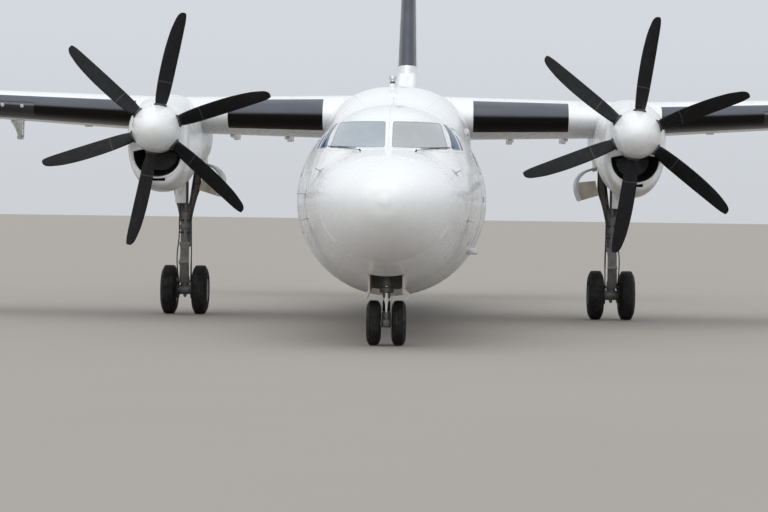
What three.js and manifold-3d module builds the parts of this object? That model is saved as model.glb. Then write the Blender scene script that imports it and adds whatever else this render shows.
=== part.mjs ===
// High-wing twin-turboprop airliner, parked on its landing gear.
// Lengths are millimetres. +Z is up, the nose points to -Y and the port wing to +X.
// The origin is on the ground, on the centre plane, under the middle of the overall length.
import * as THREE from "three";
import { mergeVertices } from "three/addons/utils/BufferGeometryUtils.js";
import Module from "manifold-3d";

const wasm = await Module();
wasm.setup();

// Overall sizes. Stations are counted aft from the nose tip.
const LENGTH = 25247;
const HALF_SPAN = 14500;
const HEIGHT = 8317;
const AXIS_Z = 1910; // height of the cabin's centreline
const CABIN_RADIUS = 1350;
const THRUST = { x: 3684, z: 2990 };
const PROP = { station: 7800, radius: 1830, blades: 6 };
const MAIN_GEAR = { station: 11800, x: 3600 };
const NOSE_GEAR = { station: 2100 };

// Gaps between pieces
const SEAT = 0.4; // pieces that rest on each other
const PLAY = 0.5; // a pin in its hole
const RUN = 8; // pieces that move past each other

const X = new THREE.Vector3(1, 0, 0);
const Y = new THREE.Vector3(0, 1, 0);
const Z = new THREE.Vector3(0, 0, 1);
const radians = THREE.MathUtils.degToRad;
const aft = (station) => station - LENGTH / 2;
const SIDES = [
  { name: "port", sign: 1 },
  { name: "starboard", sign: -1 },
];

// Colour, roughness and metalness of each material
const MATERIALS = {
  white_paint: [0xf1f2f3, 0.3, 0.0],
  grey_paint: [0xb9b6ae, 0.5, 0.0],
  blade_black: [0x242528, 0.5, 0.0],
  gear_grey: [0x9a9c9b, 0.45, 0.3],
  bare_metal: [0xa6a8aa, 0.35, 0.9],
  tyre_rubber: [0x17171a, 0.85, 0.0],
  cockpit_glass: [0x7d8a94, 0.08, 0.0],
  engine_metal: [0x6f6a64, 0.5, 0.8],
};

// Tables

// Rows of numbers as objects with the named columns.
function table(columns, rows) {
  return rows.map((row) => Object.fromEntries(columns.map((column, i) => [column, row[i]])));
}

// A column's value at a place along a table, on a smooth curve that stays between its rows.
function along(rows, place, column, at) {
  const last = rows.length - 1;
  if (at <= rows[0][place]) return rows[0][column];
  if (at >= rows[last][place]) return rows[last][column];
  const i = rows.findIndex((row) => row[place] > at) - 1;
  const slope = (k) => (rows[k + 1][column] - rows[k][column]) / (rows[k + 1][place] - rows[k][place]);
  const tangent = (k) => {
    if (k === 0) return slope(0);
    if (k === last) return slope(last - 1);
    const [before, after] = [slope(k - 1), slope(k)];
    return before * after <= 0 ? 0 : (2 * before * after) / (before + after);
  };
  const width = rows[i + 1][place] - rows[i][place];
  const t = (at - rows[i][place]) / width;
  return (
    (2 * t ** 3 - 3 * t ** 2 + 1) * rows[i][column] +
    (t ** 3 - 2 * t ** 2 + t) * width * tangent(i) +
    (3 * t ** 2 - 2 * t ** 3) * rows[i + 1][column] +
    (t ** 3 - t ** 2) * width * tangent(i + 1)
  );
}

const mix = (a, b, share) => a + (b - a) * share;

// Solids

// A closed three.js geometry as a solid that can be joined and cut.
function solid(geometry) {
  const bare = geometry.clone();
  for (const name of Object.keys(bare.attributes)) {
    if (name !== "position") bare.deleteAttribute(name);
  }
  const merged = mergeVertices(bare, 1e-3);
  const mesh = new wasm.Mesh({
    numProp: 3,
    vertProperties: merged.attributes.position.array,
    triVerts: new Uint32Array(merged.index.array),
  });
  return new wasm.Manifold(mesh);
}

// A solid back as an indexed three.js geometry.
function geometryOf(made) {
  const mesh = made.getMesh();
  const geometry = new THREE.BufferGeometry();
  geometry.setAttribute("position", new THREE.BufferAttribute(new Float32Array(mesh.vertProperties), 3));
  geometry.setIndex(new THREE.BufferAttribute(new Uint32Array(mesh.triVerts), 1));
  return geometry;
}

// A solid moved by a matrix, with its faces turned back out where the matrix mirrors it.
function moved(made, matrix) {
  const geometry = geometryOf(made).applyMatrix4(matrix);
  if (matrix.determinant() < 0) geometry.index.array.reverse();
  return solid(geometry);
}

const join = (...parts) => parts.reduce((sum, part) => sum.add(part));
const cut = (body, ...tools) => tools.reduce((rest, tool) => rest.subtract(tool), body);
const MIRROR = new THREE.Matrix4().makeScale(-1, 1, 1);
const onSide = (side, made) => (side.sign > 0 ? made : moved(made, MIRROR));

// Triangles that fill one flat ring of points, wound the way the ring runs.
function fill(ring) {
  const size = new THREE.Box3().setFromPoints(ring).getSize(new THREE.Vector3());
  const thin = ["x", "y", "z"].sort((a, b) => size[a] - size[b])[0];
  const [p, q] = ["x", "y", "z"].filter((axis) => axis !== thin);
  const outline = ring.map((v) => new THREE.Vector2(v[p], v[q]));
  const turn = Math.sign(THREE.ShapeUtils.area(outline));
  return THREE.ShapeUtils.triangulateShape(outline, []).map(([a, b, c]) => {
    const way = Math.sign(THREE.ShapeUtils.area([outline[a], outline[b], outline[c]]));
    return way === turn ? [a, b, c] : [a, c, b];
  });
}

// A solid through rings of points, all with the same number of points and each ring flat. Each
// four-cornered face is split along the diagonal that is the shorter one between the guiding rings.
function loft(rings, guides = rings) {
  const count = rings[0].length;
  const points = rings.flat();
  const marks = guides.flat();
  const faces = [];
  for (let r = 0; r + 1 < rings.length; r++) {
    for (let i = 0; i < count; i++) {
      const [a, b] = [r * count + i, r * count + ((i + 1) % count)];
      const [c, d] = [a + count, b + count];
      const shorter = marks[a].distanceTo(marks[d]) < marks[b].distanceTo(marks[c]);
      faces.push(...(shorter ? [[a, b, d], [a, d, c]] : [[a, b, c], [b, d, c]]));
    }
  }
  const end = (rings.length - 1) * count;
  fill(rings[0]).forEach(([a, b, c]) => faces.push([a, c, b]));
  fill(rings[rings.length - 1]).forEach(([a, b, c]) => faces.push([end + a, end + b, end + c]));
  const six = (a, b, c) => points[a].dot(new THREE.Vector3().crossVectors(points[b], points[c]));
  const outward = faces.reduce((sum, [a, b, c]) => sum + six(a, b, c), 0) > 0;
  const geometry = new THREE.BufferGeometry().setFromPoints(points);
  geometry.setIndex(faces.flatMap(([a, b, c]) => (outward ? [a, b, c] : [a, c, b])));
  return solid(geometry);
}

// A block between two corners.
function block(low, high) {
  const box = new THREE.Box3(new THREE.Vector3(...low), new THREE.Vector3(...high));
  const size = box.getSize(new THREE.Vector3());
  const middle = box.getCenter(new THREE.Vector3());
  return solid(new THREE.BoxGeometry(size.x, size.y, size.z).translate(middle.x, middle.y, middle.z));
}

// A round bar between two points, with its own radius at each end.
function bar(from, to, radius, endRadius = radius, sides = 8) {
  const start = new THREE.Vector3(...from);
  const way = new THREE.Vector3(...to).sub(start);
  const geometry = new THREE.CylinderGeometry(endRadius, radius, way.length(), sides);
  geometry.translate(0, way.length() / 2, 0);
  geometry.applyQuaternion(new THREE.Quaternion().setFromUnitVectors(Y, way.normalize()));
  return solid(geometry.translate(start.x, start.y, start.z));
}

// The round hole that a bar of that radius turns in.
function hole(from, to, radius, sides = 8) {
  const wide = (radius + PLAY) / Math.cos(Math.PI / sides);
  return bar(from, to, wide, wide, sides);
}

// An outline given a thickness. The matrix columns say where its two axes and its depth point.
function extruded(outline, depth, columns) {
  const shape = new THREE.Shape(outline.map(([p, q]) => new THREE.Vector2(p, q)));
  const geometry = new THREE.ExtrudeGeometry(shape, { depth, bevelEnabled: false });
  geometry.applyMatrix4(new THREE.Matrix4().makeBasis(...columns));
  return geometry;
}

// An outline of [y, z] points between two places across, of [x, z] between two places aft, or
// of [x, y] between two heights.
const prismAcross = (outline, x1, x2) => solid(extruded(outline, x2 - x1, [Y, Z, X]).translate(x1, 0, 0));
const prismUp = (outline, z1, z2) => solid(extruded(outline, z2 - z1, [X, Y, Z]).translate(0, 0, z1));
function prismAft(outline, y1, y2) {
  const back = outline.map(([x, z]) => [z, x]);
  return solid(extruded(back, y2 - y1, [Z, X, Y]).translate(0, y1, 0));
}

// An outline of convex shape with every edge moved outwards.
function grown(outline, amount) {
  const points = outline.map(([p, q]) => new THREE.Vector2(p, q));
  const turn = Math.sign(THREE.ShapeUtils.area(points));
  const count = points.length;
  const normal = (i) => {
    const edge = new THREE.Vector2().subVectors(points[(i + 1) % count], points[i % count]).normalize();
    return new THREE.Vector2(edge.y * turn, -edge.x * turn);
  };
  return points.map((point, i) => {
    const [before, after] = [normal(i + count - 1), normal(i)];
    const way = before.clone().add(after);
    return point.clone().addScaledVector(way, (2 * amount) / way.lengthSq()).toArray();
  });
}

// A body turned about an axis along X, from [radius, across] points.
function turnedAcross(profile, centre, sides) {
  const points = profile.map(([radius, across]) => new THREE.Vector2(radius, across));
  const geometry = new THREE.LatheGeometry(points, sides);
  geometry.rotateY(Math.PI / sides).rotateZ(-Math.PI / 2);
  return solid(geometry.translate(...centre));
}

// A body turned about an axis along Y, from [radius, aftward] points.
function turnedAlong(profile, centre, sides) {
  const points = profile.map(([radius, aftward]) => new THREE.Vector2(radius, aftward));
  return solid(new THREE.LatheGeometry(points, sides).translate(...centre));
}

const root = new THREE.Group();
function add(name, material, made) {
  const [color, roughness, metalness] = MATERIALS[material];
  const flat = geometryOf(made).toNonIndexed();
  flat.computeVertexNormals();
  const mesh = new THREE.Mesh(flat, new THREE.MeshStandardMaterial({ color, roughness, metalness }));
  mesh.name = name;
  root.add(mesh);
}

// Long round bodies

const BODY_COLUMNS = ["station", "half", "top", "bottom", "middle"];

// Half width, crown, keel and height of the widest point, along the fuselage. The last two say how
// square the upper section is at its sides and at its crown: 2 is round, and less is flatter.
const FUSELAGE = table([...BODY_COLUMNS, "side", "crown"], [
  [0, 50, 1930, 1830, 1880, 2, 2],
  [50, 205, 2050, 1690, 1880, 2, 2],
  [150, 350, 2150, 1570, 1880, 2, 2],
  [350, 535, 2260, 1420, 1880, 2, 2],
  [700, 735, 2375, 1240, 1885, 2, 2],
  [1100, 880, 2465, 1075, 1890, 2, 2],
  [1600, 1000, 2545, 930, 1892, 1.9, 2.15],
  [1930, 1065, 2600, 855, 1895, 1.8, 2.3],
  [2200, 1105, 2775, 808, 1897, 1.72, 2.4],
  [2450, 1135, 2920, 772, 1899, 1.7, 2.45],
  [2750, 1165, 3045, 735, 1901, 1.72, 2.4],
  [3100, 1202, 3130, 693, 1904, 1.78, 2.3],
  [3600, 1250, 3200, 640, 1906, 1.88, 2.15],
  [4300, 1310, 3245, 590, 1909, 1.96, 2.05],
  [5200, CABIN_RADIUS, AXIS_Z + CABIN_RADIUS, AXIS_Z - CABIN_RADIUS, AXIS_Z, 2, 2],
  [16000, CABIN_RADIUS, AXIS_Z + CABIN_RADIUS, AXIS_Z - CABIN_RADIUS, AXIS_Z, 2, 2],
  [17500, 1300, 3270, 740, 1985, 2, 2],
  [19000, 1160, 3290, 1080, 2165, 2, 2],
  [20500, 960, 3315, 1450, 2380, 2, 2],
  [22000, 720, 3330, 1840, 2590, 2, 2],
  [23500, 450, 3290, 2240, 2780, 2, 2],
  [24600, 235, 3200, 2540, 2880, 2, 2],
  [25100, 105, 3090, 2730, 2910, 2, 2],
  [LENGTH, 30, 2985, 2890, 2935, 2, 2],
]);

// One ring of a body, grown outwards by an amount. A higher power makes the section squarer.
function bodyRing(rows, station, { grow = 0, sides = 28, power = 2, x = 0 } = {}) {
  const value = (column) => along(rows, "station", column, station);
  const [half, top, bottom, middle] = ["half", "top", "bottom", "middle"].map(value);
  const shaped = "side" in rows[0];
  const [side, crown] = shaped ? ["side", "crown"].map(value) : [power, power];
  const ring = [];
  for (let i = 0; i < sides; i++) {
    const angle = (2 * Math.PI * i) / sides;
    const [c, s] = [Math.cos(angle), Math.sin(angle)];
    const squareness = s > 0 || !shaped ? mix(side, crown, s ** 4) : 2;
    const [across, up] = [c, s].map((v) => Math.sign(v) * Math.abs(v) ** (2 / squareness));
    const rise = s > 0 ? top + grow - middle : middle - bottom + grow;
    ring.push(new THREE.Vector3(x + (half + grow) * across, aft(station), middle + rise * up));
  }
  return ring;
}

// A body through its rings. Its faces are split alike however far it is grown.
function bodyLoft(rows, stations, options = {}) {
  const rings = (grow) => stations.map((station) => bodyRing(rows, station, { ...options, grow }));
  return loft(rings(options.grow ?? 0), rings(0));
}

const RADOME_END = 1000;
const RADOME_STATIONS = [0, 50, 200, 500, RADOME_END - SEAT];
const FUSELAGE_STATIONS = [
  RADOME_END, 1450, 1930, 2200, 2500, 2800, 3200, 3700, 4300, 5200, 16000, 17000, 18200, 19500, 20800, 22000,
  23200, 24300, 24950, LENGTH,
];
const fuselageSkin = (grow) => bodyLoft(FUSELAGE, FUSELAGE_STATIONS, { grow });
const fuselageShell = (thickness, outside = 0) => cut(fuselageSkin(outside), fuselageSkin(-thickness));

// The hollow inside the tapering tail, which opens round the tailplane.
const TAIL_HOLLOW = { wall: 60, front: 17400, rear: 24200 };
function tailHollow() {
  const low = [-CABIN_RADIUS, aft(TAIL_HOLLOW.front), AXIS_Z - CABIN_RADIUS];
  const high = [CABIN_RADIUS, aft(TAIL_HOLLOW.rear), AXIS_Z + CABIN_RADIUS];
  return fuselageSkin(-TAIL_HOLLOW.wall).intersect(block(low, high));
}

// How far out the skin lies at a station and height below the widest point, or a little above it.
function skinAcross(station, z) {
  const [half, top, bottom, middle] = ["half", "top", "bottom", "middle"].map((column) =>
    along(FUSELAGE, "station", column, station),
  );
  const rise = z > middle ? top - middle : middle - bottom;
  return half * Math.sqrt(1 - ((z - middle) / rise) ** 2);
}

// Lifting surfaces

// Half thickness of a section at a share of the chord, as a share of the chord.
function halfThickness(share, thickness) {
  const curve = 0.2969 * Math.sqrt(share) - 0.126 * share - 0.3516 * share ** 2 + 0.2843 * share ** 3;
  return 5 * thickness * (curve - 0.1036 * share ** 4) + 0.0015 * share;
}

// Places on a lifting surface whose span runs along X. A share runs from its nose to its tail.
function liftingSurface({ chord, lead, height, incidence, thickness, camber }) {
  const point = (x, share, rise) => {
    const [c, s] = [Math.cos(incidence(x)), Math.sin(incidence(x))];
    const y = aft(lead(x)) + chord(x) * (share * c + rise * s);
    return new THREE.Vector3(x, y, height(x) + chord(x) * (rise * c - share * s));
  };
  const mean = (share) => 4 * camber * share * (1 - share);
  const skin = (x, share, way) => point(x, share, mean(share) + way * halfThickness(share, thickness(x)));
  const depth = (x, share) => chord(x) * halfThickness(share, thickness(x));
  return { chord, point, mean, skin, depth };
}

const SKIN_SHARES = [1, 0.8, 0.55, 0.32, 0.15, 0.05, 0.01];

// A section as a ring: from its tail over the top, round its nose and back below, grown outwards.
function sectionRing(surface, x, grow = 0) {
  const ring = [
    ...SKIN_SHARES.map((share) => surface.skin(x, share, 1)),
    surface.skin(x, 0, 1),
    ...[...SKIN_SHARES].reverse().map((share) => surface.skin(x, share, -1)),
  ];
  if (!grow) return ring;
  return ring.map((p, i) => {
    const before = ring[(i + ring.length - 1) % ring.length];
    const after = ring[(i + 1) % ring.length];
    const way = new THREE.Vector3().subVectors(after, before).normalize();
    return new THREE.Vector3(p.x, p.y + way.z * grow, p.z - way.y * grow);
  });
}

const TIP_CAP = 180; // the rounded end of each wing
const spanShare = (x) => Math.abs(x) / HALF_SPAN;
const overCap = (x) => Math.max(0, Math.abs(x) - (HALF_SPAN - TIP_CAP)) / TIP_CAP;
const WING = { rootChord: 3464, tipChord: 1400, leadingZ: 3310, dihedral: 2.5, middle: 9000 };
const SPINE = { station: 10590, share: 0.3 }; // the wing's sections are strung on this straight line
const wingChord = (x) => mix(WING.rootChord, WING.tipChord, spanShare(x));
const wing = liftingSurface({
  chord: (x) => wingChord(x) * (1 - 0.3 * overCap(x) ** 2),
  lead: (x) => SPINE.station - wingChord(x) * (SPINE.share - 0.18 * overCap(x) ** 2),
  height: (x) => WING.leadingZ + Math.max(0, Math.abs(x) - THRUST.x) * Math.tan(radians(WING.dihedral)),
  incidence: (x) => radians(mix(3.5, 1.5, spanShare(x))),
  thickness: (x) => mix(0.21, 0.15, spanShare(x)) * (1 - 0.75 * overCap(x) ** 2),
  camber: 0.022,
});
const TIP_PLACES = [HALF_SPAN - TIP_CAP, HALF_SPAN - 0.4 * TIP_CAP, HALF_SPAN];
const bothWays = (places) => [...[...places].reverse().map((x) => -x), 0, ...places];
const WING_PLACES = bothWays([THRUST.x, WING.middle, ...TIP_PLACES]);
const wingSkin = (grow) => loft(WING_PLACES.map((x) => sectionRing(wing, x, grow)));

const TAILPLANE = { half: 4873, z: 3380, dihedral: 6, bend: 300 };
const tailShare = (x) => Math.abs(x) / TAILPLANE.half;
const tailRise = (x) => Math.max(0, Math.abs(x) - TAILPLANE.bend) * Math.tan(radians(TAILPLANE.dihedral));
const tailplane = liftingSurface({
  chord: (x) => mix(2350, 1050, tailShare(x)),
  lead: (x) => mix(21300, 22100, tailShare(x)),
  height: (x) => TAILPLANE.z + tailRise(x),
  incidence: () => 0,
  thickness: (x) => mix(0.12, 0.1, tailShare(x)),
  camber: 0,
});
const tailplaneSkin = (grow) =>
  loft(bothWays([TAILPLANE.bend, TAILPLANE.half]).map((x) => sectionRing(tailplane, x, grow)));

// The fin is worked out lying along X, from its foot to its tip, and then stood up.
const FIN = { foot: 2970, root: 3300, tipCap: 160 };
const finShare = (z) => (z - FIN.root) / (HEIGHT - FIN.root);
const finCap = (z) => Math.max(0, z - (HEIGHT - FIN.tipCap)) / FIN.tipCap;
const finLead = (z) => mix(20200, 22700, finShare(z));
const finTail = (z) => mix(24620, 24520, finShare(z));
const fin = liftingSurface({
  chord: (z) => (finTail(z) - finLead(z)) * (1 - 0.22 * finCap(z) ** 2),
  lead: (z) => finLead(z) + 300 * finCap(z) ** 2,
  height: () => 0,
  incidence: () => 0,
  thickness: (z) => 0.115 * (1 - 0.7 * finCap(z) ** 2),
  camber: 0,
});
const STAND_UP = new THREE.Matrix4().makeRotationY(-Math.PI / 2);
const standing = (made) => moved(made, STAND_UP);
const upright = (v) => new THREE.Vector3(-v.z, v.y, v.x);

// Moving surfaces

const NOSE_STEPS = 6;

// A half circle round a hinge point, from above over its front to below, then the points aft of it.
function hingeRing(centre, radius, rest) {
  const ring = [];
  for (let i = 0; i <= NOSE_STEPS; i++) {
    const angle = Math.PI * (0.5 + i / NOSE_STEPS);
    const [y, z] = [centre.y + radius * Math.cos(angle), centre.z + radius * Math.sin(angle)];
    ring.push(new THREE.Vector3(centre.x, y, z));
  }
  return [...ring, ...rest.map(([y, z]) => new THREE.Vector3(centre.x, y, z))];
}

// A moving surface with a round nose, and the cove that it sits in.
function movingSurface(surface, { from, to, hinge, endGap }) {
  const centre = (x) => surface.point(x, hinge, surface.mean(hinge));
  const body = loft(
    [from + endGap, to - endGap].map((x) => {
      const tail = [surface.skin(x, 1, -1), surface.skin(x, 1, 1)].map((v) => [v.y, v.z]);
      return hingeRing(centre(x), surface.depth(x, hinge) * 0.95 - 2, tail);
    }),
  );
  const cove = loft(
    [from, to].map((x) => {
      const [c, deep] = [centre(x), surface.depth(x, hinge)];
      const [low, high, back] = [c.z - deep - 400, c.z + deep + 400, c.y + surface.chord(x)];
      return hingeRing(c, deep * 1.03 + 4, [[c.y, low], [back, low], [back, high], [c.y, high]]);
    }),
  );
  return { body, cove, start: centre(from), end: centre(to), centre };
}

const PIN = { radius: 16, reach: 60, root: 60 };

// Hinge pins at both ends of a moving surface, and the holes that they turn in.
function hingePins(moving, { from, to, endGap }) {
  const way = new THREE.Vector3().subVectors(moving.end, moving.start).normalize();
  const pin = (x, out, make, reach) => {
    const at = moving.centre(x);
    const inner = at.clone().addScaledVector(way, -out * (endGap + PIN.root));
    const outer = at.clone().addScaledVector(way, out * reach);
    return make(inner.toArray(), outer.toArray(), PIN.radius);
  };
  return {
    pins: join(pin(from, -1, bar, PIN.reach), pin(to, 1, bar, PIN.reach)),
    holes: join(pin(from, -1, hole, PIN.reach + SEAT), pin(to, 1, hole, PIN.reach + SEAT)),
  };
}

// Flaps

const FLAP = { hinge: 0.72, bracket: 120, arm: 25, armGap: 14, eye: 55, pin: 18 };
const BRACKET = {
  share: 0.42, root: 40, lip: 30, back: 250, belly: 60,
  armRoot: 0.4, armFront: 6, armDrop: 20, armBack: 2.2,
};
const FLAPS = table(["name", "from", "to", "endGap", "bracket1", "bracket2", "drop"], [
  ["inboard", 1480, 3100, 25, 1850, 2750, 60],
  ["outboard", 4270, 9500, 35, 6400, 8900, 290],
]);

// A point straight below the flap's nose where its hinge line passes.
function flapHinge(x, drop) {
  const centre = wing.point(x, FLAP.hinge, wing.mean(FLAP.hinge));
  return new THREE.Vector3(x, centre.y, centre.z - wing.depth(x, FLAP.hinge) - drop);
}

// The fixed bracket under the wing that carries the flap's hinge, and the flap's two arms there.
// The pin lies along the hinge line.
function flapBracket(x, drop, hingeWay) {
  const centre = wing.point(x, FLAP.hinge, wing.mean(FLAP.hinge));
  const deep = wing.depth(x, FLAP.hinge);
  const eye = flapHinge(x, drop);
  const coveFront = centre.y - deep * 1.03 - 14;
  const underFlap = centre.z - deep - BRACKET.lip;
  const front = wing.skin(x, BRACKET.share, -1);
  const lens = (radius) => [
    [eye.y + radius * 0.7, eye.z + radius * 0.7],
    [eye.y + radius, eye.z],
    [eye.y + radius * 0.7, eye.z - radius * 0.7],
    [eye.y, eye.z - radius],
  ];
  const nose = [[front.y, front.z + BRACKET.root], [coveFront, centre.z], [coveFront, underFlap]];
  const plate = prismAcross(
    [...nose, ...lens(FLAP.eye), [front.y + BRACKET.back, front.z - BRACKET.belly]],
    x - FLAP.bracket / 2,
    x + FLAP.bracket / 2,
  );
  const armTop = centre.z - deep * BRACKET.armRoot;
  const armFront = eye.y + BRACKET.armFront;
  const armOutline = [
    [armFront, armTop],
    [armFront, underFlap - BRACKET.armDrop],
    [eye.y - FLAP.eye, eye.z],
    [eye.y, eye.z - FLAP.eye],
    [eye.y + FLAP.eye, eye.z],
    [eye.y + BRACKET.armBack * FLAP.eye, armTop],
  ];
  const armAt = (x1) => prismAcross(armOutline, x1, x1 + FLAP.arm);
  const reach = FLAP.bracket / 2 + FLAP.armGap;
  const arms = join(armAt(x - reach - FLAP.arm), armAt(x + reach));
  const ends = [-1, 1].map((way) => eye.clone().addScaledVector(hingeWay, way * (reach + 5)).toArray());
  return { plate, arms, pin: bar(...ends, FLAP.pin, FLAP.pin, 16), hole: hole(...ends, FLAP.pin, 16) };
}

const AILERON = { from: 9560, to: 13950, hinge: 0.74, endGap: 18 };
const ELEVATOR = { from: 820, to: 4700, hinge: 0.7, endGap: 36 };
const RUDDER = { from: 3540, to: 8080, hinge: 0.7, endGap: 30 };

const JACK_PAD = { x: 5100, share: 0.3, station: 3400, half: 60, drop: 22, root: 60 };

// A flat pad where a jack goes, hanging a little below the skin at that place.
function padUnder(x, y, skinZ) {
  const { half, drop, root: depth } = JACK_PAD;
  return block([x - half, y - half, skinZ - drop], [x + half, y + half, skinZ + depth]);
}
function wingPad() {
  const skin = wing.skin(JACK_PAD.x, JACK_PAD.share, -1);
  return padUnder(skin.x, skin.y, skin.z);
}
function keelPad() {
  const keel = along(FUSELAGE, "station", "bottom", JACK_PAD.station);
  return padUnder(0, aft(JACK_PAD.station), keel);
}

function addWing() {
  const halves = { add: [wingPad()], cut: [], moving: [] };
  for (const row of FLAPS) {
    const moving = movingSurface(wing, { ...row, hinge: FLAP.hinge });
    const [inner, outer] = [row.bracket1, row.bracket2].map((x) => flapHinge(x, row.drop));
    const hingeWay = outer.sub(inner).normalize();
    const brackets = [row.bracket1, row.bracket2].map((x) => flapBracket(x, row.drop, hingeWay));
    halves.cut.push(moving.cove);
    halves.add.push(...brackets.map((b) => cut(b.plate, b.hole)));
    const made = join(moving.body, ...brackets.flatMap((b) => [b.arms, b.pin]));
    halves.moving.push({ name: `flap_${row.name}`, made });
  }
  const aileron = movingSurface(wing, AILERON);
  const pins = hingePins(aileron, AILERON);
  halves.cut.push(aileron.cove, pins.holes);
  halves.moving.push({ name: "aileron", made: join(aileron.body, pins.pins) });
  let body = wingSkin(0);
  for (const side of SIDES) {
    body = cut(body, ...halves.cut.map((tool) => onSide(side, tool)));
    body = join(body, ...halves.add.map((part) => onSide(side, part)));
    halves.moving.forEach(({ name, made }) => add(`${name}_${side.name}`, "white_paint", onSide(side, made)));
  }
  add("wing", "white_paint", body);
}

const DORSAL = table(BODY_COLUMNS, [
  [16000, 40, 3280, 2980, 3020],
  [17200, 120, 3360, 2980, 3020],
  [18600, 195, 3600, 2980, 3020],
  [19800, 240, 4040, 2980, 3020],
  [20900, 252, 4620, 2980, 3020],
  [21600, 248, 4760, 2980, 3020],
  [22600, 205, 4790, 2980, 3020],
]);

function addTail() {
  const elevator = movingSurface(tailplane, ELEVATOR);
  const pins = hingePins(elevator, ELEVATOR);
  let body = tailplaneSkin(0);
  for (const side of SIDES) {
    body = cut(body, onSide(side, elevator.cove), onSide(side, pins.holes));
    add(`elevator_${side.name}`, "white_paint", onSide(side, join(elevator.body, pins.pins)));
  }
  add("tailplane", "white_paint", body);

  const rudder = movingSurface(fin, RUDDER);
  const rudderPins = hingePins(rudder, RUDDER);
  const places = [FIN.foot, FIN.root, 5500, HEIGHT - FIN.tipCap, HEIGHT - 0.4 * FIN.tipCap, HEIGHT];
  const blade = standing(loft(places.map((z) => sectionRing(fin, z))));
  const dorsal = bodyLoft(DORSAL, DORSAL.map((row) => row.station), { power: 3, sides: 16 });
  const whole = cut(join(blade, dorsal), standing(rudder.cove), standing(rudderPins.holes));
  add("fin", "white_paint", cut(whole, fuselageSkin(SEAT), tailplaneSkin(SEAT)));
  add("rudder", "white_paint", standing(join(rudder.body, rudderPins.pins)));
}

// Wing fairing on top of the fuselage

const FAIRING = table(BODY_COLUMNS, [
  [7400, 700, 3255, 2350, 2750],
  [8100, 950, 3420, 2350, 2750],
  [8800, 1120, 3655, 2350, 2750],
  [9400, 1180, 3765, 2350, 2750],
  [10400, 1190, 3785, 2350, 2750],
  [11800, 1180, 3765, 2350, 2750],
  [13000, 1080, 3630, 2350, 2750],
  [14200, 880, 3420, 2350, 2750],
  [15200, 650, 3250, 2350, 2750],
]);
const FAIRING_STATIONS = FAIRING.map((row) => row.station);
const fairingLoft = (grow) => bodyLoft(FAIRING, FAIRING_STATIONS, { grow, sides: 20, power: 2.2 });

// Cockpit panes: outlines seen from ahead as [x, z], or from the side as [station, z]

const PANE_THICKNESS = 35;
const BEHIND_PANE = 4; // free depth between a pane and the cabin's wall behind it
const FRONT_PANE = [[58, 2602], [770, 2590], [673, 2940], [58, 2940]];
const SIDE_PANE = [[2560, 2598], [3050, 2598], [3690, 2935], [3430, 2945]];

const frontPane = (grow) => prismAft(grown(FRONT_PANE, grow), aft(1500) - grow, aft(3300) + grow);
const sidePane = (grow) =>
  prismAcross(grown(SIDE_PANE.map(([s, z]) => [aft(s), z]), grow), 700 - grow, 1400 + grow);

// Passenger door with its steps, hinged at its sill

const DOOR = { front: 3750, rear: 4550, sill: 1235, head: 2900, thickness: 110, depth: 620 };
const DOOR_HINGE = { x: 1180, z: 1216, radius: 12 };
const LUG = { inset: 75, width: 50, arm: 60, bury: 30 };
const STEPS = { first: 1500, rise: 300, count: 5, tread: 200, thickness: 30, inset: 60 };

function doorOutline(grow) {
  const corner = 120;
  const [front, rear] = [aft(DOOR.front), aft(DOOR.rear)];
  return grown(
    [[front, DOOR.sill], [rear, DOOR.sill], [rear, DOOR.head - corner], [rear - corner, DOOR.head],
     [front + corner, DOOR.head], [front, DOOR.head - corner]],
    grow,
  );
}
const doorway = () => prismAcross(doorOutline(RUN), DOOR.depth, CABIN_RADIUS + 100);

const doorBar = (y1, y2, make) =>
  make([DOOR_HINGE.x, y1, DOOR_HINGE.z], [DOOR_HINGE.x, y2, DOOR_HINGE.z], DOOR_HINGE.radius);

function passengerDoor() {
  const panel = prismAcross(doorOutline(0), DOOR.depth + 50, CABIN_RADIUS + 50);
  let door = fuselageShell(DOOR.thickness).intersect(panel);
  const [front, rear] = [aft(DOOR.front), aft(DOOR.rear)];
  const under = fuselageSkin(-DOOR.thickness / 2);
  for (let i = 0; i < STEPS.count; i++) {
    const z = STEPS.first + i * STEPS.rise;
    const inner = skinAcross(DOOR.front, z) - DOOR.thickness - STEPS.tread;
    const outer = [CABIN_RADIUS, rear - STEPS.inset, z + STEPS.thickness];
    door = join(door, block([inner, front + STEPS.inset, z], outer).intersect(under));
  }
  const next = LUG.inset + LUG.width + SEAT;
  for (const station of [DOOR.front + next, DOOR.rear - next - LUG.arm]) {
    const inner = skinAcross(station, DOOR.sill) - LUG.bury;
    const high = [DOOR_HINGE.x + 16, aft(station) + LUG.arm, DOOR.sill + 35];
    const arm = block([inner, aft(station), DOOR.sill], high);
    const drop = block([DOOR_HINGE.x - 11, aft(station), DOOR_HINGE.z], high);
    door = join(door, arm, drop);
  }
  return join(door, doorBar(front + STEPS.inset, rear - STEPS.inset, bar));
}

// Lugs under the sill that hold the door's hinge bar.
function doorLugs() {
  const lug = (station) => {
    const inner = skinAcross(station, DOOR_HINGE.z) - 2 * LUG.bury;
    const y = aft(station);
    return block([inner, y, DOOR_HINGE.z - 34], [DOOR_HINGE.x + 26, y + LUG.width, DOOR_HINGE.z + 26]);
  };
  const [front, rear] = [DOOR.front + LUG.inset, DOOR.rear - LUG.inset - LUG.width];
  return cut(join(lug(front), lug(rear)), doorBar(aft(DOOR.front), aft(DOOR.rear), hole));
}

// Nose gear

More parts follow.
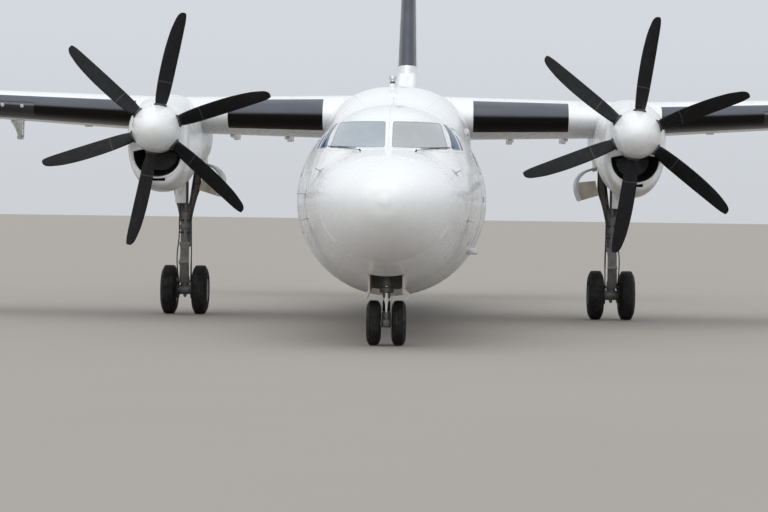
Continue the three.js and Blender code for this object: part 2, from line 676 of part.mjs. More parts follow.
const NOSE_BAY = { half: 235, front: 1650, rear: 2950, roof: 1550 };
const NOSE_TYRE = { radius: 300, bore: 150, half: 95, spacing: 330, sides: 20, axle: 32, housing: 60 };
const noseBay = () =>
  block([-NOSE_BAY.half, aft(NOSE_BAY.front), 600], [NOSE_BAY.half, aft(NOSE_BAY.rear), NOSE_BAY.roof]);
const flatRadius = (tyre) => tyre.radius * Math.cos(Math.PI / tyre.sides); // axle height over its flat

function addFuselage() {
  const panes = SIDES.flatMap((side) => [onSide(side, frontPane(SEAT)), onSide(side, sidePane(SEAT))]);
  const paneSeats = fuselageShell(PANE_THICKNESS + BEHIND_PANE, RUN).intersect(join(...panes));
  const spaces = [paneSeats, doorway(), noseBay(), tailHollow()];
  const whole = cut(fuselageSkin(0), ...spaces, wingSkin(SEAT), fairingLoft(SEAT), tailplaneSkin(SEAT));
  add("fuselage", "white_paint", join(whole, cut(doorLugs(), doorway()), keelPad()));
  add("radome", "white_paint", bodyLoft(FUSELAGE, RADOME_STATIONS));
  add("wing_fairing", "white_paint", cut(fairingLoft(0), wingSkin(SEAT)));
  add("passenger_door", "white_paint", passengerDoor());
  const shell = fuselageShell(PANE_THICKNESS);
  for (const side of SIDES) {
    add(`windshield_${side.name}`, "cockpit_glass", onSide(side, shell.intersect(frontPane(0))));
    add(`side_window_${side.name}`, "cockpit_glass", onSide(side, shell.intersect(sidePane(0))));
  }
}

// Crown aerial with a blunt streamlined foot, standing on the wing fairing
const AERIAL = { x: -85, station: 9300, top: 3925, half: 55, chord: 330, sweep: 90, sides: 16, root: 60 };
function addAerial() {
  const base = along(FAIRING, "station", "top", AERIAL.station) - AERIAL.root;
  const ring = (z, size) => {
    const points = [];
    for (let i = 0; i < AERIAL.sides; i++) {
      const angle = (2 * Math.PI * i) / AERIAL.sides;
      const y = aft(AERIAL.station) + (AERIAL.chord / 2) * size * Math.cos(angle) + (1 - size) * AERIAL.sweep;
      points.push(new THREE.Vector3(AERIAL.x + AERIAL.half * size * Math.sin(angle), y, z));
    }
    return points;
  };
  const rings = [[base, 1], [mix(base, AERIAL.top, 0.6), 0.95], [AERIAL.top - 30, 0.8], [AERIAL.top, 0.5]];
  add("crown_aerial", "bare_metal", cut(loft(rings.map(([z, size]) => ring(z, size))), fairingLoft(SEAT)));
}

// Engine nacelles

const NACELLE = table(BODY_COLUMNS, [
  [8015, 450, 3395, 2120, 2850],
  [8250, 490, 3460, 2060, 2880],
  [8800, 515, 3545, 2030, 2920],
  [9700, 520, 3610, 2080, 2960],
  [10400, 520, 3625, 2290, 2985],
  [11000, 520, 3620, 2410, 3000],
  [12000, 500, 3480, 2440, 3015],
  [12800, 420, 3350, 2600, 3030],
  [13400, 270, 3240, 2830, 3035],
  [13900, 70, 3130, 3010, 3070],
]);
const NACELLE_STATIONS = [8015, 8180, 8600, 9400, 10000, 10700, 11800, 12700, 13400, 13900];
const NACELLE_SHAPE = { x: THRUST.x, power: 2.3, sides: 20 };
const nacelleSkin = (grow) => bodyLoft(NACELLE, NACELLE_STATIONS, { ...NACELLE_SHAPE, grow });
const INTAKE = { top: 2645, drop: 385, half: 375, depth: 700, throat: 0.62, steps: 10 };
const SLOT = { half: 120, low: 2198, high: 2246, rear: 8230 };
const AHEAD = 7900; // a station ahead of the nacelle, where its openings start
const WELL = { inner: 3300, outer: 3900, front: 11450, rear: 12950, floor: 1900, roof: 2810 };
const ENGINE = { half: 250, rise: 260, front: 8030, rear: 9680, shaft: 55 };

// The chin intake: a flat top edge and a deep rounded lower lip, narrowing inwards.
function intakeDuct() {
  const ring = (station, size) => {
    const points = [];
    for (let i = 0; i <= INTAKE.steps; i++) {
      const angle = (Math.PI * i) / INTAKE.steps;
      const [c, s] = [Math.cos(angle), Math.sin(angle)];
      const across = Math.sign(c) * Math.abs(c) ** 0.9;
      points.push(new THREE.Vector3(
        THRUST.x + INTAKE.half * size * across,
        aft(station),
        INTAKE.top - 40 * (1 - size) - INTAKE.drop * size * s ** 0.9,
      ));
    }
    return points;
  };
  return loft([ring(AHEAD, 1), ring(NACELLE[0].station + INTAKE.depth, INTAKE.throat)]);
}

// The shaft reaches out of the engine's front into the propeller's hub.
function engineBlock() {
  const [half, rise] = [ENGINE.half - SEAT, ENGINE.rise - SEAT];
  const low = [THRUST.x - half, aft(ENGINE.front), THRUST.z - rise];
  const high = [THRUST.x + half, aft(ENGINE.rear) - SEAT, THRUST.z + rise];
  const shaftEnds = [aft(PROP.station), aft(ENGINE.front) + 50].map((y) => [THRUST.x, y, THRUST.z]);
  return join(block(low, high), bar(...shaftEnds, ENGINE.shaft));
}

// The exhaust's centreline as distance outboard of the thrust line, station and height, with the
// radius of the pipe and of its bore there. It leaves the nacelle's outer side and is a little tall.
const EXHAUST = table(["out", "station", "z", "radius", "bore"], [
  [400, 10300, 2780, 115, 40],
  [560, 10900, 2740, 135, 108],
  [630, 11450, 2700, 130, 118],
]);
const EXHAUST_SHAPE = { sides: 12, tallness: 1.15 };

function exhaust() {
  const ring = (row, radius) => {
    const points = [];
    for (let i = 0; i < EXHAUST_SHAPE.sides; i++) {
      const angle = (2 * Math.PI * i) / EXHAUST_SHAPE.sides;
      const x = THRUST.x + row.out + radius * Math.cos(angle);
      const z = row.z + EXHAUST_SHAPE.tallness * radius * Math.sin(angle);
      points.push(new THREE.Vector3(x, aft(row.station), z));
    }
    return points;
  };
  const [, middle, end] = EXHAUST;
  const opening = block(
    [THRUST.x, aft(middle.station), end.z - 500],
    [THRUST.x + 1200, aft(end.station) + 100, end.z + 500],
  );
  const outer = loft(EXHAUST.map((row) => ring(row, row.radius)));
  const bore = loft(EXHAUST.map((row) => ring(row, row.bore))).intersect(opening);
  return cut(outer, bore, nacelleSkin(SEAT));
}

function addNacelles() {
  const engineSpace = block(
    [THRUST.x - ENGINE.half, aft(AHEAD), THRUST.z - ENGINE.rise],
    [THRUST.x + ENGINE.half, aft(ENGINE.rear), THRUST.z + ENGINE.rise],
  );
  const slot = block(
    [THRUST.x - SLOT.half, aft(AHEAD), SLOT.low],
    [THRUST.x + SLOT.half, aft(SLOT.rear), SLOT.high],
  );
  const well = block([WELL.inner, aft(WELL.front), WELL.floor], [WELL.outer, aft(WELL.rear), WELL.roof]);
  const nacelle = cut(nacelleSkin(0), engineSpace, slot, intakeDuct(), well, wingSkin(SEAT));
  for (const side of SIDES) {
    add(`nacelle_${side.name}`, "white_paint", onSide(side, nacelle));
    add(`engine_${side.name}`, "engine_metal", onSide(side, engineBlock()));
    add(`exhaust_${side.name}`, "bare_metal", onSide(side, exhaust()));
  }
}

// Propellers

const SPINNER = [[0, -600], [120, -565], [230, -455], [320, -275], [365, -60], [370, 205], [0, 205]];
const HUB = { radius: 190, front: -150, rear: 150, shank: 75, sides: 16 };

// Radius, chord, thickness and pitch of the blade's sections, and how far each is swept back.
const BLADE = table(["radius", "chord", "thickness", "pitch", "sweep"], [
  [120, 150, 150, 45, 0],
  [380, 150, 150, 45, 0],
  [430, 225, 100, 43, 3],
  [560, 255, 58, 39, 6],
  [740, 262, 40, 34, 8],
  [1100, 252, 27, 27, 18],
  [1500, 212, 17, 20, 42],
  [1760, 140, 9, 16, 74],
  [PROP.radius, 55, 5, 15, 95],
]);

function blade() {
  return loft(BLADE.map((row) => {
    const [c, s] = [Math.cos(radians(row.pitch)), Math.sin(radians(row.pitch))];
    const points = [];
    for (let i = 0; i < 8; i++) {
      const angle = (2 * Math.PI * i) / 8;
      const u = (row.chord / 2) * Math.cos(angle) + row.sweep;
      const v = (row.thickness / 2) * Math.sin(angle);
      points.push(new THREE.Vector3(u * c - v * s, u * s + v * c, row.radius));
    }
    return points;
  }));
}

function addPropeller(side, turn) {
  const place = new THREE.Matrix4().makeTranslation(side.sign * THRUST.x, aft(PROP.station), THRUST.z);
  const azimuth = (k) => radians(turn + (360 * k) / PROP.blades);
  const drum = [[0, HUB.front], [HUB.radius, HUB.front], [HUB.radius, HUB.rear], [0, HUB.rear]];
  let hub = turnedAlong(drum, [0, 0, 0], HUB.sides);
  const room = HUB.radius + 5;
  let shanks = bar([0, HUB.front - SEAT, 0], [0, 300, 0], room, room, HUB.sides);
  for (let k = 0; k < PROP.blades; k++) {
    const way = new THREE.Matrix4().makeRotationY(azimuth(k));
    hub = join(hub, moved(blade(), way));
    shanks = join(shanks, moved(hole([0, 0, 100], [0, 0, 600], HUB.shank + 3), way));
  }
  hub = cut(hub, hole([0, -SEAT, 0], [0, 400, 0], ENGINE.shaft));
  add(`propeller_${side.name}`, "blade_black", moved(hub, place));
  add(`spinner_${side.name}`, "white_paint", moved(cut(turnedAlong(SPINNER, [0, 0, 0], 20), shanks), place));
}

// Wheels

const MAIN_TYRE = { radius: 415, bore: 205, half: 136, spacing: 520, sides: 24, axle: 50, housing: 110 };

function tyreProfile({ radius, bore, half }) {
  const depth = radius - bore;
  return [
    [bore, -0.77 * half],
    [bore + 0.45 * depth, -half],
    [radius - 0.13 * depth, -0.87 * half],
    [radius, -0.45 * half],
    [radius, 0.45 * half],
    [radius - 0.13 * depth, 0.87 * half],
    [bore + 0.45 * depth, half],
    [bore, 0.77 * half],
    [bore, -0.77 * half],
  ];
}

// Both rims of a twin and the axle between them, as one turned body.
function rimProfile({ bore, half, spacing, axle, sides, housing }) {
  const centre = spacing / 2;
  const seat = bore * Math.cos(Math.PI / sides) - SEAT;
  const right = [
    [axle, housing + SEAT],
    [1.5 * axle, housing + SEAT],
    [1.5 * axle, centre - 0.2 * half],
    [0.78 * bore, centre - 0.3 * half],
    [0.86 * bore, centre - 0.85 * half],
    [seat, centre - 0.85 * half],
    [seat, centre + 0.85 * half],
    [0.86 * bore, centre + 0.85 * half],
    [0.78 * bore, centre + 0.35 * half],
    [0.4 * bore, centre + 0.3 * half],
    [0.34 * bore, centre + 0.7 * half],
    [0, centre + 0.7 * half],
  ];
  const left = right.map(([radius, across]) => [radius, -across]).reverse();
  return [...left, ...right];
}

function addTwin(name, tyre, x, station) {
  const centre = [x, aft(station), flatRadius(tyre)];
  add(`${name}_rims`, "gear_grey", turnedAcross(rimProfile(tyre), centre, tyre.sides / 2));
  for (const { sign, name: which } of [{ sign: 1, name: "left" }, { sign: -1, name: "right" }]) {
    const at = [x + (sign * tyre.spacing) / 2, centre[1], centre[2]];
    add(`${name}_tyre_${which}`, "tyre_rubber", turnedAcross(tyreProfile(tyre), at, tyre.sides));
  }
}

// Main gear legs

// Heights and radii of the main leg, and how far ahead of or behind it its fittings lie.
const MAIN_LEG = {
  housing: 82, piston: 62, pistonTop: 1250,
  cylinder: 95, cylinderLow: 1150, cylinderTop: 1750,
  pivot: 2720, pivotRadius: 45,
  yoke: { foot: 1500, elbow: 2150, radius: 58, footOut: 20, inner: [195, 205], outer: [160, 190] },
  brace: { foot: 1420, station: 12600, z: 2690, out: 120, radius: 36, tube: 35, post: 25 },
  links: { out: 34, radius: 22, reach: 56, knee: { aft: -330, z: 880 } },
};
const LINK_ENDS = table(["aft", "z", "low"], [[-90, 1190, 1160], [-70, 560, 520]]);

// Both arms of the yoke, each with an elbow.
function yokeArms(x, y) {
  const { foot, elbow, radius, footOut, inner, outer } = MAIN_LEG.yoke;
  const arm = (way, [elbowOut, topOut]) => {
    const bend = [x + way * elbowOut, y, elbow];
    return [
      bar([x + way * footOut, y, foot], bend, radius),
      bar(bend, [x + way * topOut, y, MAIN_LEG.pivot], radius - 4),
      bar([bend[0], y, elbow - 40], [bend[0], y, elbow + 40], radius),
    ];
  };
  return [...arm(-1, inner), ...arm(1, outer)];
}

// The drag brace's two bars, with the cross tube and posts that hold them under the well's roof.
function dragBrace(x, y) {
  const { foot, station, z, out, radius, tube, post } = MAIN_LEG.brace;
  const top = aft(station);
  const reach = out + post;
  const bars = [-1, 1].flatMap((way) => [
    bar([x, y, foot], [x + way * out, top, z], radius),
    block([x + way * out - post, top - tube, z], [x + way * out + post, top + tube, WELL.roof - SEAT]),
  ]);
  return [...bars, bar([x - reach, top, z], [x + reach, top, z], tube)];
}

// The torque links ahead of the leg, with their knee pin and the blocks at their ends.
function torqueLinks(x, y) {
  const { out, radius, reach, knee } = MAIN_LEG.links;
  const kneeY = y + knee.aft;
  const pieces = [bar([x - reach, kneeY, knee.z], [x + reach, kneeY, knee.z], radius)];
  for (const end of LINK_ENDS) {
    pieces.push(block([x - reach, y + end.aft - 10, end.low], [x + reach, y, end.low + 70]));
    for (const way of [-1, 1]) {
      const place = x + way * out;
      pieces.push(bar([place, y + end.aft, end.z], [place, y + knee.aft, knee.z], radius, radius, 8));
    }
  }
  return pieces;
}

// The whole leg: axle housing, piston, cylinder, centre post, pivot tube, yoke, brace and links.
function mainLeg() {
  const { x } = MAIN_GEAR;
  const y = aft(MAIN_GEAR.station);
  const axleZ = flatRadius(MAIN_TYRE);
  const { housing, piston, pistonTop, cylinder, cylinderLow, cylinderTop, pivot, pivotRadius } = MAIN_LEG;
  const pieces = [
    bar([x - MAIN_TYRE.housing, y, axleZ], [x + MAIN_TYRE.housing, y, axleZ], housing),
    bar([x, y, axleZ], [x, y, pistonTop], piston),
    bar([x, y, cylinderLow], [x, y, cylinderTop], cylinder),
    bar([x, y, cylinderTop - 110], [x, y, pivot], pivotRadius),
    bar([WELL.inner + SEAT, y, pivot], [WELL.outer - SEAT, y, pivot], pivotRadius),
    ...yokeArms(x, y),
    ...dragBrace(x, y),
    ...torqueLinks(x, y),
  ];
  const bore = hole([x - 200, y, axleZ], [x + 200, y, axleZ], MAIN_TYRE.axle, 16);
  return cut(join(...pieces), bore);
}

// A door that hangs from a flange against a wall of its bay. The way is +1 where it opens toward +X.
function gearDoor({ wall, way, edge, flange, drop, lean, front, rear }) {
  const thickness = 24;
  const inner = wall - way * SEAT;
  const outline = [
    [inner, edge + flange],
    [inner - way * thickness, edge + flange],
    [inner - way * thickness, edge - thickness],
    [inner + way * (lean - thickness), edge - drop],
    [inner + way * lean, edge - drop],
    [inner + way * (lean * 0.62 + 25), edge - drop * 0.5],
    [inner, edge - 2],
  ];
  return prismAft(outline, aft(front), aft(rear));
}

const OUTER_DOOR = {
  wall: WELL.outer, way: 1, edge: 2425, flange: 200, drop: 190, lean: 90, front: 11500, rear: 12500,
};
const NOSE_DOOR = {
  wall: NOSE_BAY.half, way: 1, edge: 725, flange: 260, drop: 115, lean: 50, front: 1700, rear: 2900,
};

// The inner main door is a curved shell. Its outside is listed by its distance inboard of the well's wall.
const INNER_DOOR = { wall: WELL.inner, thickness: 24, flange: 2655, front: 11500, rear: 12500, rib: 30 };
const INNER_DOOR_CURVE = table(["out", "z"], [
  [0, 2552],
  [180, 2500],
  [295, 2385],
  [327, 2250],
  [310, 2130],
  [256, 1990],
]);
const INNER_DOOR_RIB = [[312, 2300], [4, 2335], [-55, 2090], [240, 1996]];

function innerDoor() {
  const { wall, thickness, flange, front, rear, rib } = INNER_DOOR;
  const curve = INNER_DOOR_CURVE;
  const outside = curve.map(({ out, z }) => [wall - out, z]);
  const inside = curve.map(({ out, z }, i) => {
    const [before, after] = [curve[Math.max(i - 1, 0)], curve[Math.min(i + 1, curve.length - 1)]];
    const run = new THREE.Vector2(before.out - after.out, after.z - before.z).normalize();
    return [wall - out - run.y * thickness, z + run.x * thickness];
  });
  const [outer, inner] = [wall + SEAT, wall + SEAT + thickness];
  const top = [[inner, curve[0].z], [inner, flange], [outer, flange]];
  const shell = [[outer, curve[0].z], ...outside.slice(1), ...inside.slice(1).reverse(), ...top];
  const plate = INNER_DOOR_RIB.map(([out, z]) => [wall - out, z]);
  return join(prismAft(shell, aft(front), aft(rear)), prismAft(plate, aft(front), aft(front + rib)));
}

function addMainGear() {
  for (const side of SIDES) {
    add(`main_gear_leg_${side.name}`, "gear_grey", onSide(side, mainLeg()));
    add(`main_gear_door_inner_${side.name}`, "white_paint", onSide(side, innerDoor()));
    add(`main_gear_door_outer_${side.name}`, "white_paint", onSide(side, gearDoor(OUTER_DOOR)));
    addTwin(`main_wheels_${side.name}`, MAIN_TYRE, side.sign * MAIN_GEAR.x, MAIN_GEAR.station);
  }
}

const NOSE_LEG = {
  radius: 75, foot: 780, top: 1480, piston: 50, pistonTop: 1090,
  pivot: { z: 1400, radius: 38 },
  brace: { foot: 960, station: 2800, z: 1440, out: 70, radius: 28, tube: 30 },
};

// The fixed strut with its pivot tube and its drag brace, held between the walls of the bay.
function noseLeg() {
  const y = aft(NOSE_GEAR.station);
  const wall = NOSE_BAY.half - SEAT;
  const { pivot, brace } = NOSE_LEG;
  const braceY = aft(brace.station);
  const pieces = [
    bar([0, y, NOSE_LEG.foot], [0, y, NOSE_LEG.top], NOSE_LEG.radius),
    bar([-wall, y, pivot.z], [wall, y, pivot.z], pivot.radius),
    bar([-wall, braceY, brace.z], [wall, braceY, brace.z], brace.tube),
    bar([0, y, brace.foot], [-brace.out, braceY, brace.z], brace.radius),
    bar([0, y, brace.foot], [brace.out, braceY, brace.z], brace.radius),
  ];
  const bore = hole([0, y, NOSE_LEG.foot - 180], [0, y, NOSE_LEG.pistonTop + SEAT], NOSE_LEG.piston, 16);
  return cut(join(...pieces), bore);
}

// The fork's collar, axle housing, tow fitting (its face lies ahead of the axle) and torque links
const FORK = {
  collar: { low: 690, radius: 92 },
  housing: 62,
  tow: { face: 130, half: 45 },
  lug: { half: 38, front: 60, rear: 110, low: 700, high: 765 },
  knee: { aft: 210, z: 560, half: 34, radius: 22 },
  links: [{ aft: 90, z: 732 }, { aft: 40, z: 400 }],
  linkRadius: 20,
};

// The steered piston with its collar, torque links, axle housing and tow fitting.
function noseFork() {
  const y = aft(NOSE_GEAR.station);
  const axleZ = flatRadius(NOSE_TYRE);
  const { collar, tow, lug, knee, links, linkRadius } = FORK;
  const kneeY = y + knee.aft;
  const [upper, lower] = links.map((end) => [0, y + end.aft, end.z]);
  const pieces = [
    bar([0, y, axleZ], [0, y, NOSE_LEG.pistonTop], NOSE_LEG.piston, NOSE_LEG.piston, 16),
    bar([0, y, collar.low], [0, y, NOSE_LEG.foot - RUN], collar.radius),
    bar([-NOSE_TYRE.housing, y, axleZ], [NOSE_TYRE.housing, y, axleZ], FORK.housing),
    block([-tow.half, y - tow.face, axleZ - tow.half], [tow.half, y, axleZ + tow.half]),
    block([-lug.half, y + lug.front, lug.low], [lug.half, y + lug.rear, lug.high]),
    bar(upper, [0, kneeY, knee.z], linkRadius),
    bar([0, kneeY, knee.z], lower, linkRadius),
    bar([-knee.half, kneeY, knee.z], [knee.half, kneeY, knee.z], knee.radius),
  ];
  const bore = hole([-200, y, axleZ], [200, y, axleZ], NOSE_TYRE.axle, 16);
  return cut(join(...pieces), bore);
}

function addNoseGear() {
  add("nose_gear_leg", "gear_grey", noseLeg());
  add("nose_gear_fork", "gear_grey", noseFork());
  addTwin("nose_wheels", NOSE_TYRE, 0, NOSE_GEAR.station);
  for (const side of SIDES) {
    add(`nose_gear_door_${side.name}`, "white_paint", onSide(side, gearDoor(NOSE_DOOR)));
  }
}

addFuselage();
addAerial();
addWing();
addTail();
addNacelles();
addPropeller(SIDES[0], 7);
addPropeller(SIDES[1], 10);
addMainGear();
addNoseGear();

export default root;
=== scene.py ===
import math

import bmesh
import bpy
import numpy as np
from mathutils import Matrix, Vector
from mathutils.bvhtree import BVHTree


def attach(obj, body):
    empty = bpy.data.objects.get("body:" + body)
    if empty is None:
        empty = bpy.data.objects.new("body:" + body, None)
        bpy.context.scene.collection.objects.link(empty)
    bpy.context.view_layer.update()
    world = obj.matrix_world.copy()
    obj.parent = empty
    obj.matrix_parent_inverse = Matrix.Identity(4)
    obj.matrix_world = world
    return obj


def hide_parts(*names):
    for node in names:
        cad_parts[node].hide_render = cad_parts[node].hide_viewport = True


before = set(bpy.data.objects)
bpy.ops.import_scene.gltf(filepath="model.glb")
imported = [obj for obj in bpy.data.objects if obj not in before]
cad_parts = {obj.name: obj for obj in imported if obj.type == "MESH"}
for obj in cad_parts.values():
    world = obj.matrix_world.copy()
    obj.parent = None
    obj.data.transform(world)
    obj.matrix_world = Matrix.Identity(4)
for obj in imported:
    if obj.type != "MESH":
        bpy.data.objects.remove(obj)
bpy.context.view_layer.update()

# Sizes of the airframe, as in the frame
LENGTH = 25.247
HALF_SPAN = 14.5
HEIGHT = 8.317
AXIS_Z = 1.91
CABIN_RADIUS = 1.35
THRUST = {"x": 3.684, "z": 2.99}
PROP = {"station": 7.8, "radius": 1.83, "blades": 6}
MAIN_GEAR = {"station": 11.8, "x": 3.6}
NOSE_GEAR = {"station": 2.1}
RADOME_END = 1.0
SIDES = {"port": 1, "starboard": -1}
FINE = 0.0015  # how far a thin layer stands off the skin under it


def aft(station):
    return station - LENGTH / 2


class Table:
    """Rows with named columns, read along the first one on a smooth curve that stays between them."""

    def __init__(self, columns, rows):
        self.columns = columns.split()
        self.rows = np.array(rows, float)

    def column(self, name):
        return self.rows[:, self.columns.index(name)]

    def at(self, name, place):
        x, y = self.rows[:, 0], self.column(name)
        slopes = np.diff(y) / np.diff(x)
        before, after = slopes[:-1], slopes[1:]
        rising = before * after > 0
        total = np.where(rising, before + after, 1.0)
        inner = np.where(rising, 2 * before * after / total, 0.0)
        tangents = np.concatenate([slopes[:1], inner, slopes[-1:]])
        place = np.clip(np.asarray(place, float), x[0], x[-1])
        i = np.clip(np.searchsorted(x, place, side="right") - 1, 0, len(x) - 2)
        width = x[i + 1] - x[i]
        t = (place - x[i]) / width
        return (
            (2 * t**3 - 3 * t**2 + 1) * y[i]
            + (t**3 - 2 * t**2 + t) * width * tangents[i]
            + (3 * t**2 - 2 * t**3) * y[i + 1]
            + (t**3 - t**2) * width * tangents[i + 1]
        )


FUSELAGE = Table("station half top bottom middle side crown", [
    (0, 0.050, 1.930, 1.830, 1.880, 2, 2),
    (0.05, 0.205, 2.050, 1.690, 1.880, 2, 2),
    (0.15, 0.350, 2.150, 1.570, 1.880, 2, 2),
    (0.35, 0.535, 2.260, 1.420, 1.880, 2, 2),
    (0.70, 0.735, 2.375, 1.240, 1.885, 2, 2),
    (1.10, 0.880, 2.465, 1.075, 1.890, 2, 2),
    (1.60, 1.000, 2.545, 0.930, 1.892, 1.9, 2.15),
    (1.93, 1.065, 2.600, 0.855, 1.895, 1.8, 2.3),
    (2.20, 1.105, 2.775, 0.808, 1.897, 1.72, 2.4),
    (2.45, 1.135, 2.920, 0.772, 1.899, 1.7, 2.45),
    (2.75, 1.165, 3.045, 0.735, 1.901, 1.72, 2.4),
    (3.10, 1.202, 3.130, 0.693, 1.904, 1.78, 2.3),
    (3.60, 1.250, 3.200, 0.640, 1.906, 1.88, 2.15),
    (4.30, 1.310, 3.245, 0.590, 1.909, 1.96, 2.05),
    (5.20, 1.350, 3.260, 0.560, 1.910, 2, 2),
    (16.0, 1.350, 3.260, 0.560, 1.910, 2, 2),
    (17.5, 1.300, 3.270, 0.740, 1.985, 2, 2),
    (19.0, 1.160, 3.290, 1.080, 2.165, 2, 2),
    (20.5, 0.960, 3.315, 1.450, 2.380, 2, 2),
    (22.0, 0.720, 3.330, 1.840, 2.590, 2, 2),
    (23.5, 0.450, 3.290, 2.240, 2.780, 2, 2),
    (24.6, 0.235, 3.200, 2.540, 2.880, 2, 2),
    (25.1, 0.105, 3.090, 2.730, 2.910, 2, 2),
    (LENGTH, 0.030, 2.985, 2.890, 2.935, 2, 2),
])
FAIRING = Table("station half top bottom middle", [
    (7.4, 0.70, 3.255, 2.35, 2.75),
    (8.1, 0.95, 3.420, 2.35, 2.75),
    (8.8, 1.12, 3.655, 2.35, 2.75),
    (9.4, 1.18, 3.765, 2.35, 2.75),
    (10.4, 1.19, 3.785, 2.35, 2.75),
    (11.8, 1.18, 3.765, 2.35, 2.75),
    (13.0, 1.08, 3.630, 2.35, 2.75),
    (14.2, 0.88, 3.420, 2.35, 2.75),
    (15.2, 0.65, 3.250, 2.35, 2.75),
])
DORSAL = Table("station half top bottom middle", [
    (16.0, 0.040, 3.28, 2.98, 3.02),
    (17.2, 0.120, 3.36, 2.98, 3.02),
    (18.6, 0.195, 3.60, 2.98, 3.02),
    (19.8, 0.240, 4.04, 2.98, 3.02),
    (20.9, 0.252, 4.62, 2.98, 3.02),
    (21.6, 0.248, 4.76, 2.98, 3.02),
    (22.6, 0.205, 4.79, 2.98, 3.02),
])
NACELLE = Table("station half top bottom middle", [
    (8.015, 0.450, 3.395, 2.120, 2.850),
    (8.25, 0.490, 3.460, 2.060, 2.880),
    (8.80, 0.515, 3.545, 2.030, 2.920),
    (9.70, 0.520, 3.610, 2.080, 2.960),
    (10.4, 0.520, 3.625, 2.290, 2.985),
    (11.0, 0.520, 3.620, 2.410, 3.000),
    (12.0, 0.500, 3.480, 2.440, 3.015),
    (12.8, 0.420, 3.350, 2.600, 3.030),
    (13.4, 0.270, 3.240, 2.830, 3.035),
    (13.9, 0.070, 3.130, 3.010, 3.070),
])
SQUARENESS = {"fairing": 2.3, "dorsal": 4.5, "nacelle": 2.3}


def circle(count):
    """Angles evenly round a circle."""
    return np.linspace(0, 2 * np.pi, count, endpoint=False)


def oblong(low, high):
    """The corners of an upright rectangle in a flat outline."""
    return [low, (high[0], low[1]), high, (low[0], high[1])]


def signed_power(value, power):
    """A power of the value's size, with the value's own sign."""
    return np.sign(value) * np.abs(value) ** power


def body_points(rows, station, angle, grow=0.0, power=2.0, x=0.0):
    """Points of a long body at stations and angles round it. A higher power makes it squarer."""
    half, top, bottom, middle = (rows.at(name, station) for name in ("half", "top", "bottom", "middle"))
    c, s = np.cos(angle), np.sin(angle)
    square = power
    if "side" in rows.columns:
        side, crown = rows.at("side", station), rows.at("crown", station)
        square = np.where(s > 0, side + (crown - side) * s**4, 2.0)
    across, up = signed_power(c, 2 / square), signed_power(s, 2 / square)
    rise = np.where(s > 0, top + grow - middle, middle - bottom + grow)
    return np.stack([x + (half + grow) * across, aft(station) + 0 * across, middle + rise * up], -1)


def body_rings(rows, stations, sides=128, **options):
    return body_points(rows, np.asarray(stations, float)[:, None], circle(sides)[None, :], **options)


def on_side(rows, sign, grow=0.0, **options):
    """A function from (station, height) to points on the port (+1) or starboard (-1) skin."""

    def place(flat, lift=0.0):
        station, z = flat[:, 0], flat[:, 1]
        low, high = np.full(len(z), -np.pi / 2), np.full(len(z), np.pi / 2)
        for _ in range(36):
            middle = (low + high) / 2
            below = body_points(rows, station, middle, grow, **options)[:, 2] < z
            low, high = np.where(below, middle, low), np.where(below, high, middle)
        points = body_points(rows, station, low, grow + lift, **options)
        points[:, 0] *= sign
        return points

    return place


def on_nose(flat, lift=0.0):
    """From (x, z), as seen from ahead, to points on the fuselage's nose."""
    x, z = flat[:, 0], flat[:, 1]
    low, high = np.full(len(x), 0.02), np.full(len(x), 5.0)
    side = on_side(FUSELAGE, 1)
    for _ in range(30):
        station = (low + high) / 2
        inside = (z < FUSELAGE.at("top", station)) & (np.abs(x) < side(np.stack([station, z], -1))[:, 0])
        low, high = np.where(inside, low, station), np.where(inside, station, high)
    points = side(np.stack([high, z], -1), lift)
    points[:, 0] = np.where(x < 0, -1, 1) * np.maximum(points[:, 0], 0)
    points[:, 0] = np.where(np.abs(x) < 0.12, x, points[:, 0])
    points[:, 1] -= 0.7 * lift
    return points


# Meshes


def as_mesh(name, points, faces):
    mesh = bpy.data.meshes.new(name)
    mesh.from_pydata([tuple(p) for p in np.asarray(points, float).reshape(-1, 3)], [], faces)
    mesh.validate()
    mesh.update()
    return mesh


def outward(mesh, weld=0.0, bevel=0.0):
    """Turns a closed mesh's faces outwards, after it is welded, and before its edges are softened."""
    made = bmesh.new()
    made.from_mesh(mesh)
    if weld:
        bmesh.ops.remove_doubles(made, verts=made.verts, dist=weld)
    bmesh.ops.recalc_face_normals(made, faces=made.faces)
    if bevel:
        soften(made, bevel)
    made.to_mesh(mesh)
    made.free()
    return mesh


def soften(made, bevel):
    bmesh.ops.bevel(made, geom=made.edges[:], offset=bevel, segments=2, affect="EDGES", profile=0.5)


def loft(name, rings, caps=True, around=True):
    """A mesh through rings of points, closed round each ring and filled at both ends."""
    rings = np.asarray(rings, float)
    rows, count = rings.shape[:2]
    faces = []
    span = count if around else count - 1
    for r in range(rows - 1):
        for i in range(span):
            a, b = r * count + i, r * count + (i + 1) % count
            faces.append((a, b, b + count, a + count))
    if caps:
        faces.append(tuple(range(count))[::-1])
        faces.append(tuple((rows - 1) * count + i for i in range(count)))
    return outward(as_mesh(name, rings, faces)) if caps else as_mesh(name, rings, faces)


def join_meshes(name, meshes):
    """Meshes as one, each still a separate shell."""
    points, faces, base = [], [], 0
    for mesh in meshes:
        points.extend(tuple(v.co) for v in mesh.vertices)
        faces.extend(tuple(base + i for i in polygon.vertices) for polygon in mesh.polygons)
        base += len(mesh.vertices)
    joined = bpy.data.meshes.new(name)
    joined.from_pydata(points, [], faces)
    joined.update()
    return joined


def mirrored(mesh):
    copy = mesh.copy()
    copy.transform(Matrix.Scale(-1, 4, (1, 0, 0)))
    copy.flip_normals()
    return copy


def sided(mesh, side):
    return mesh if SIDES[side] > 0 else mirrored(mesh)


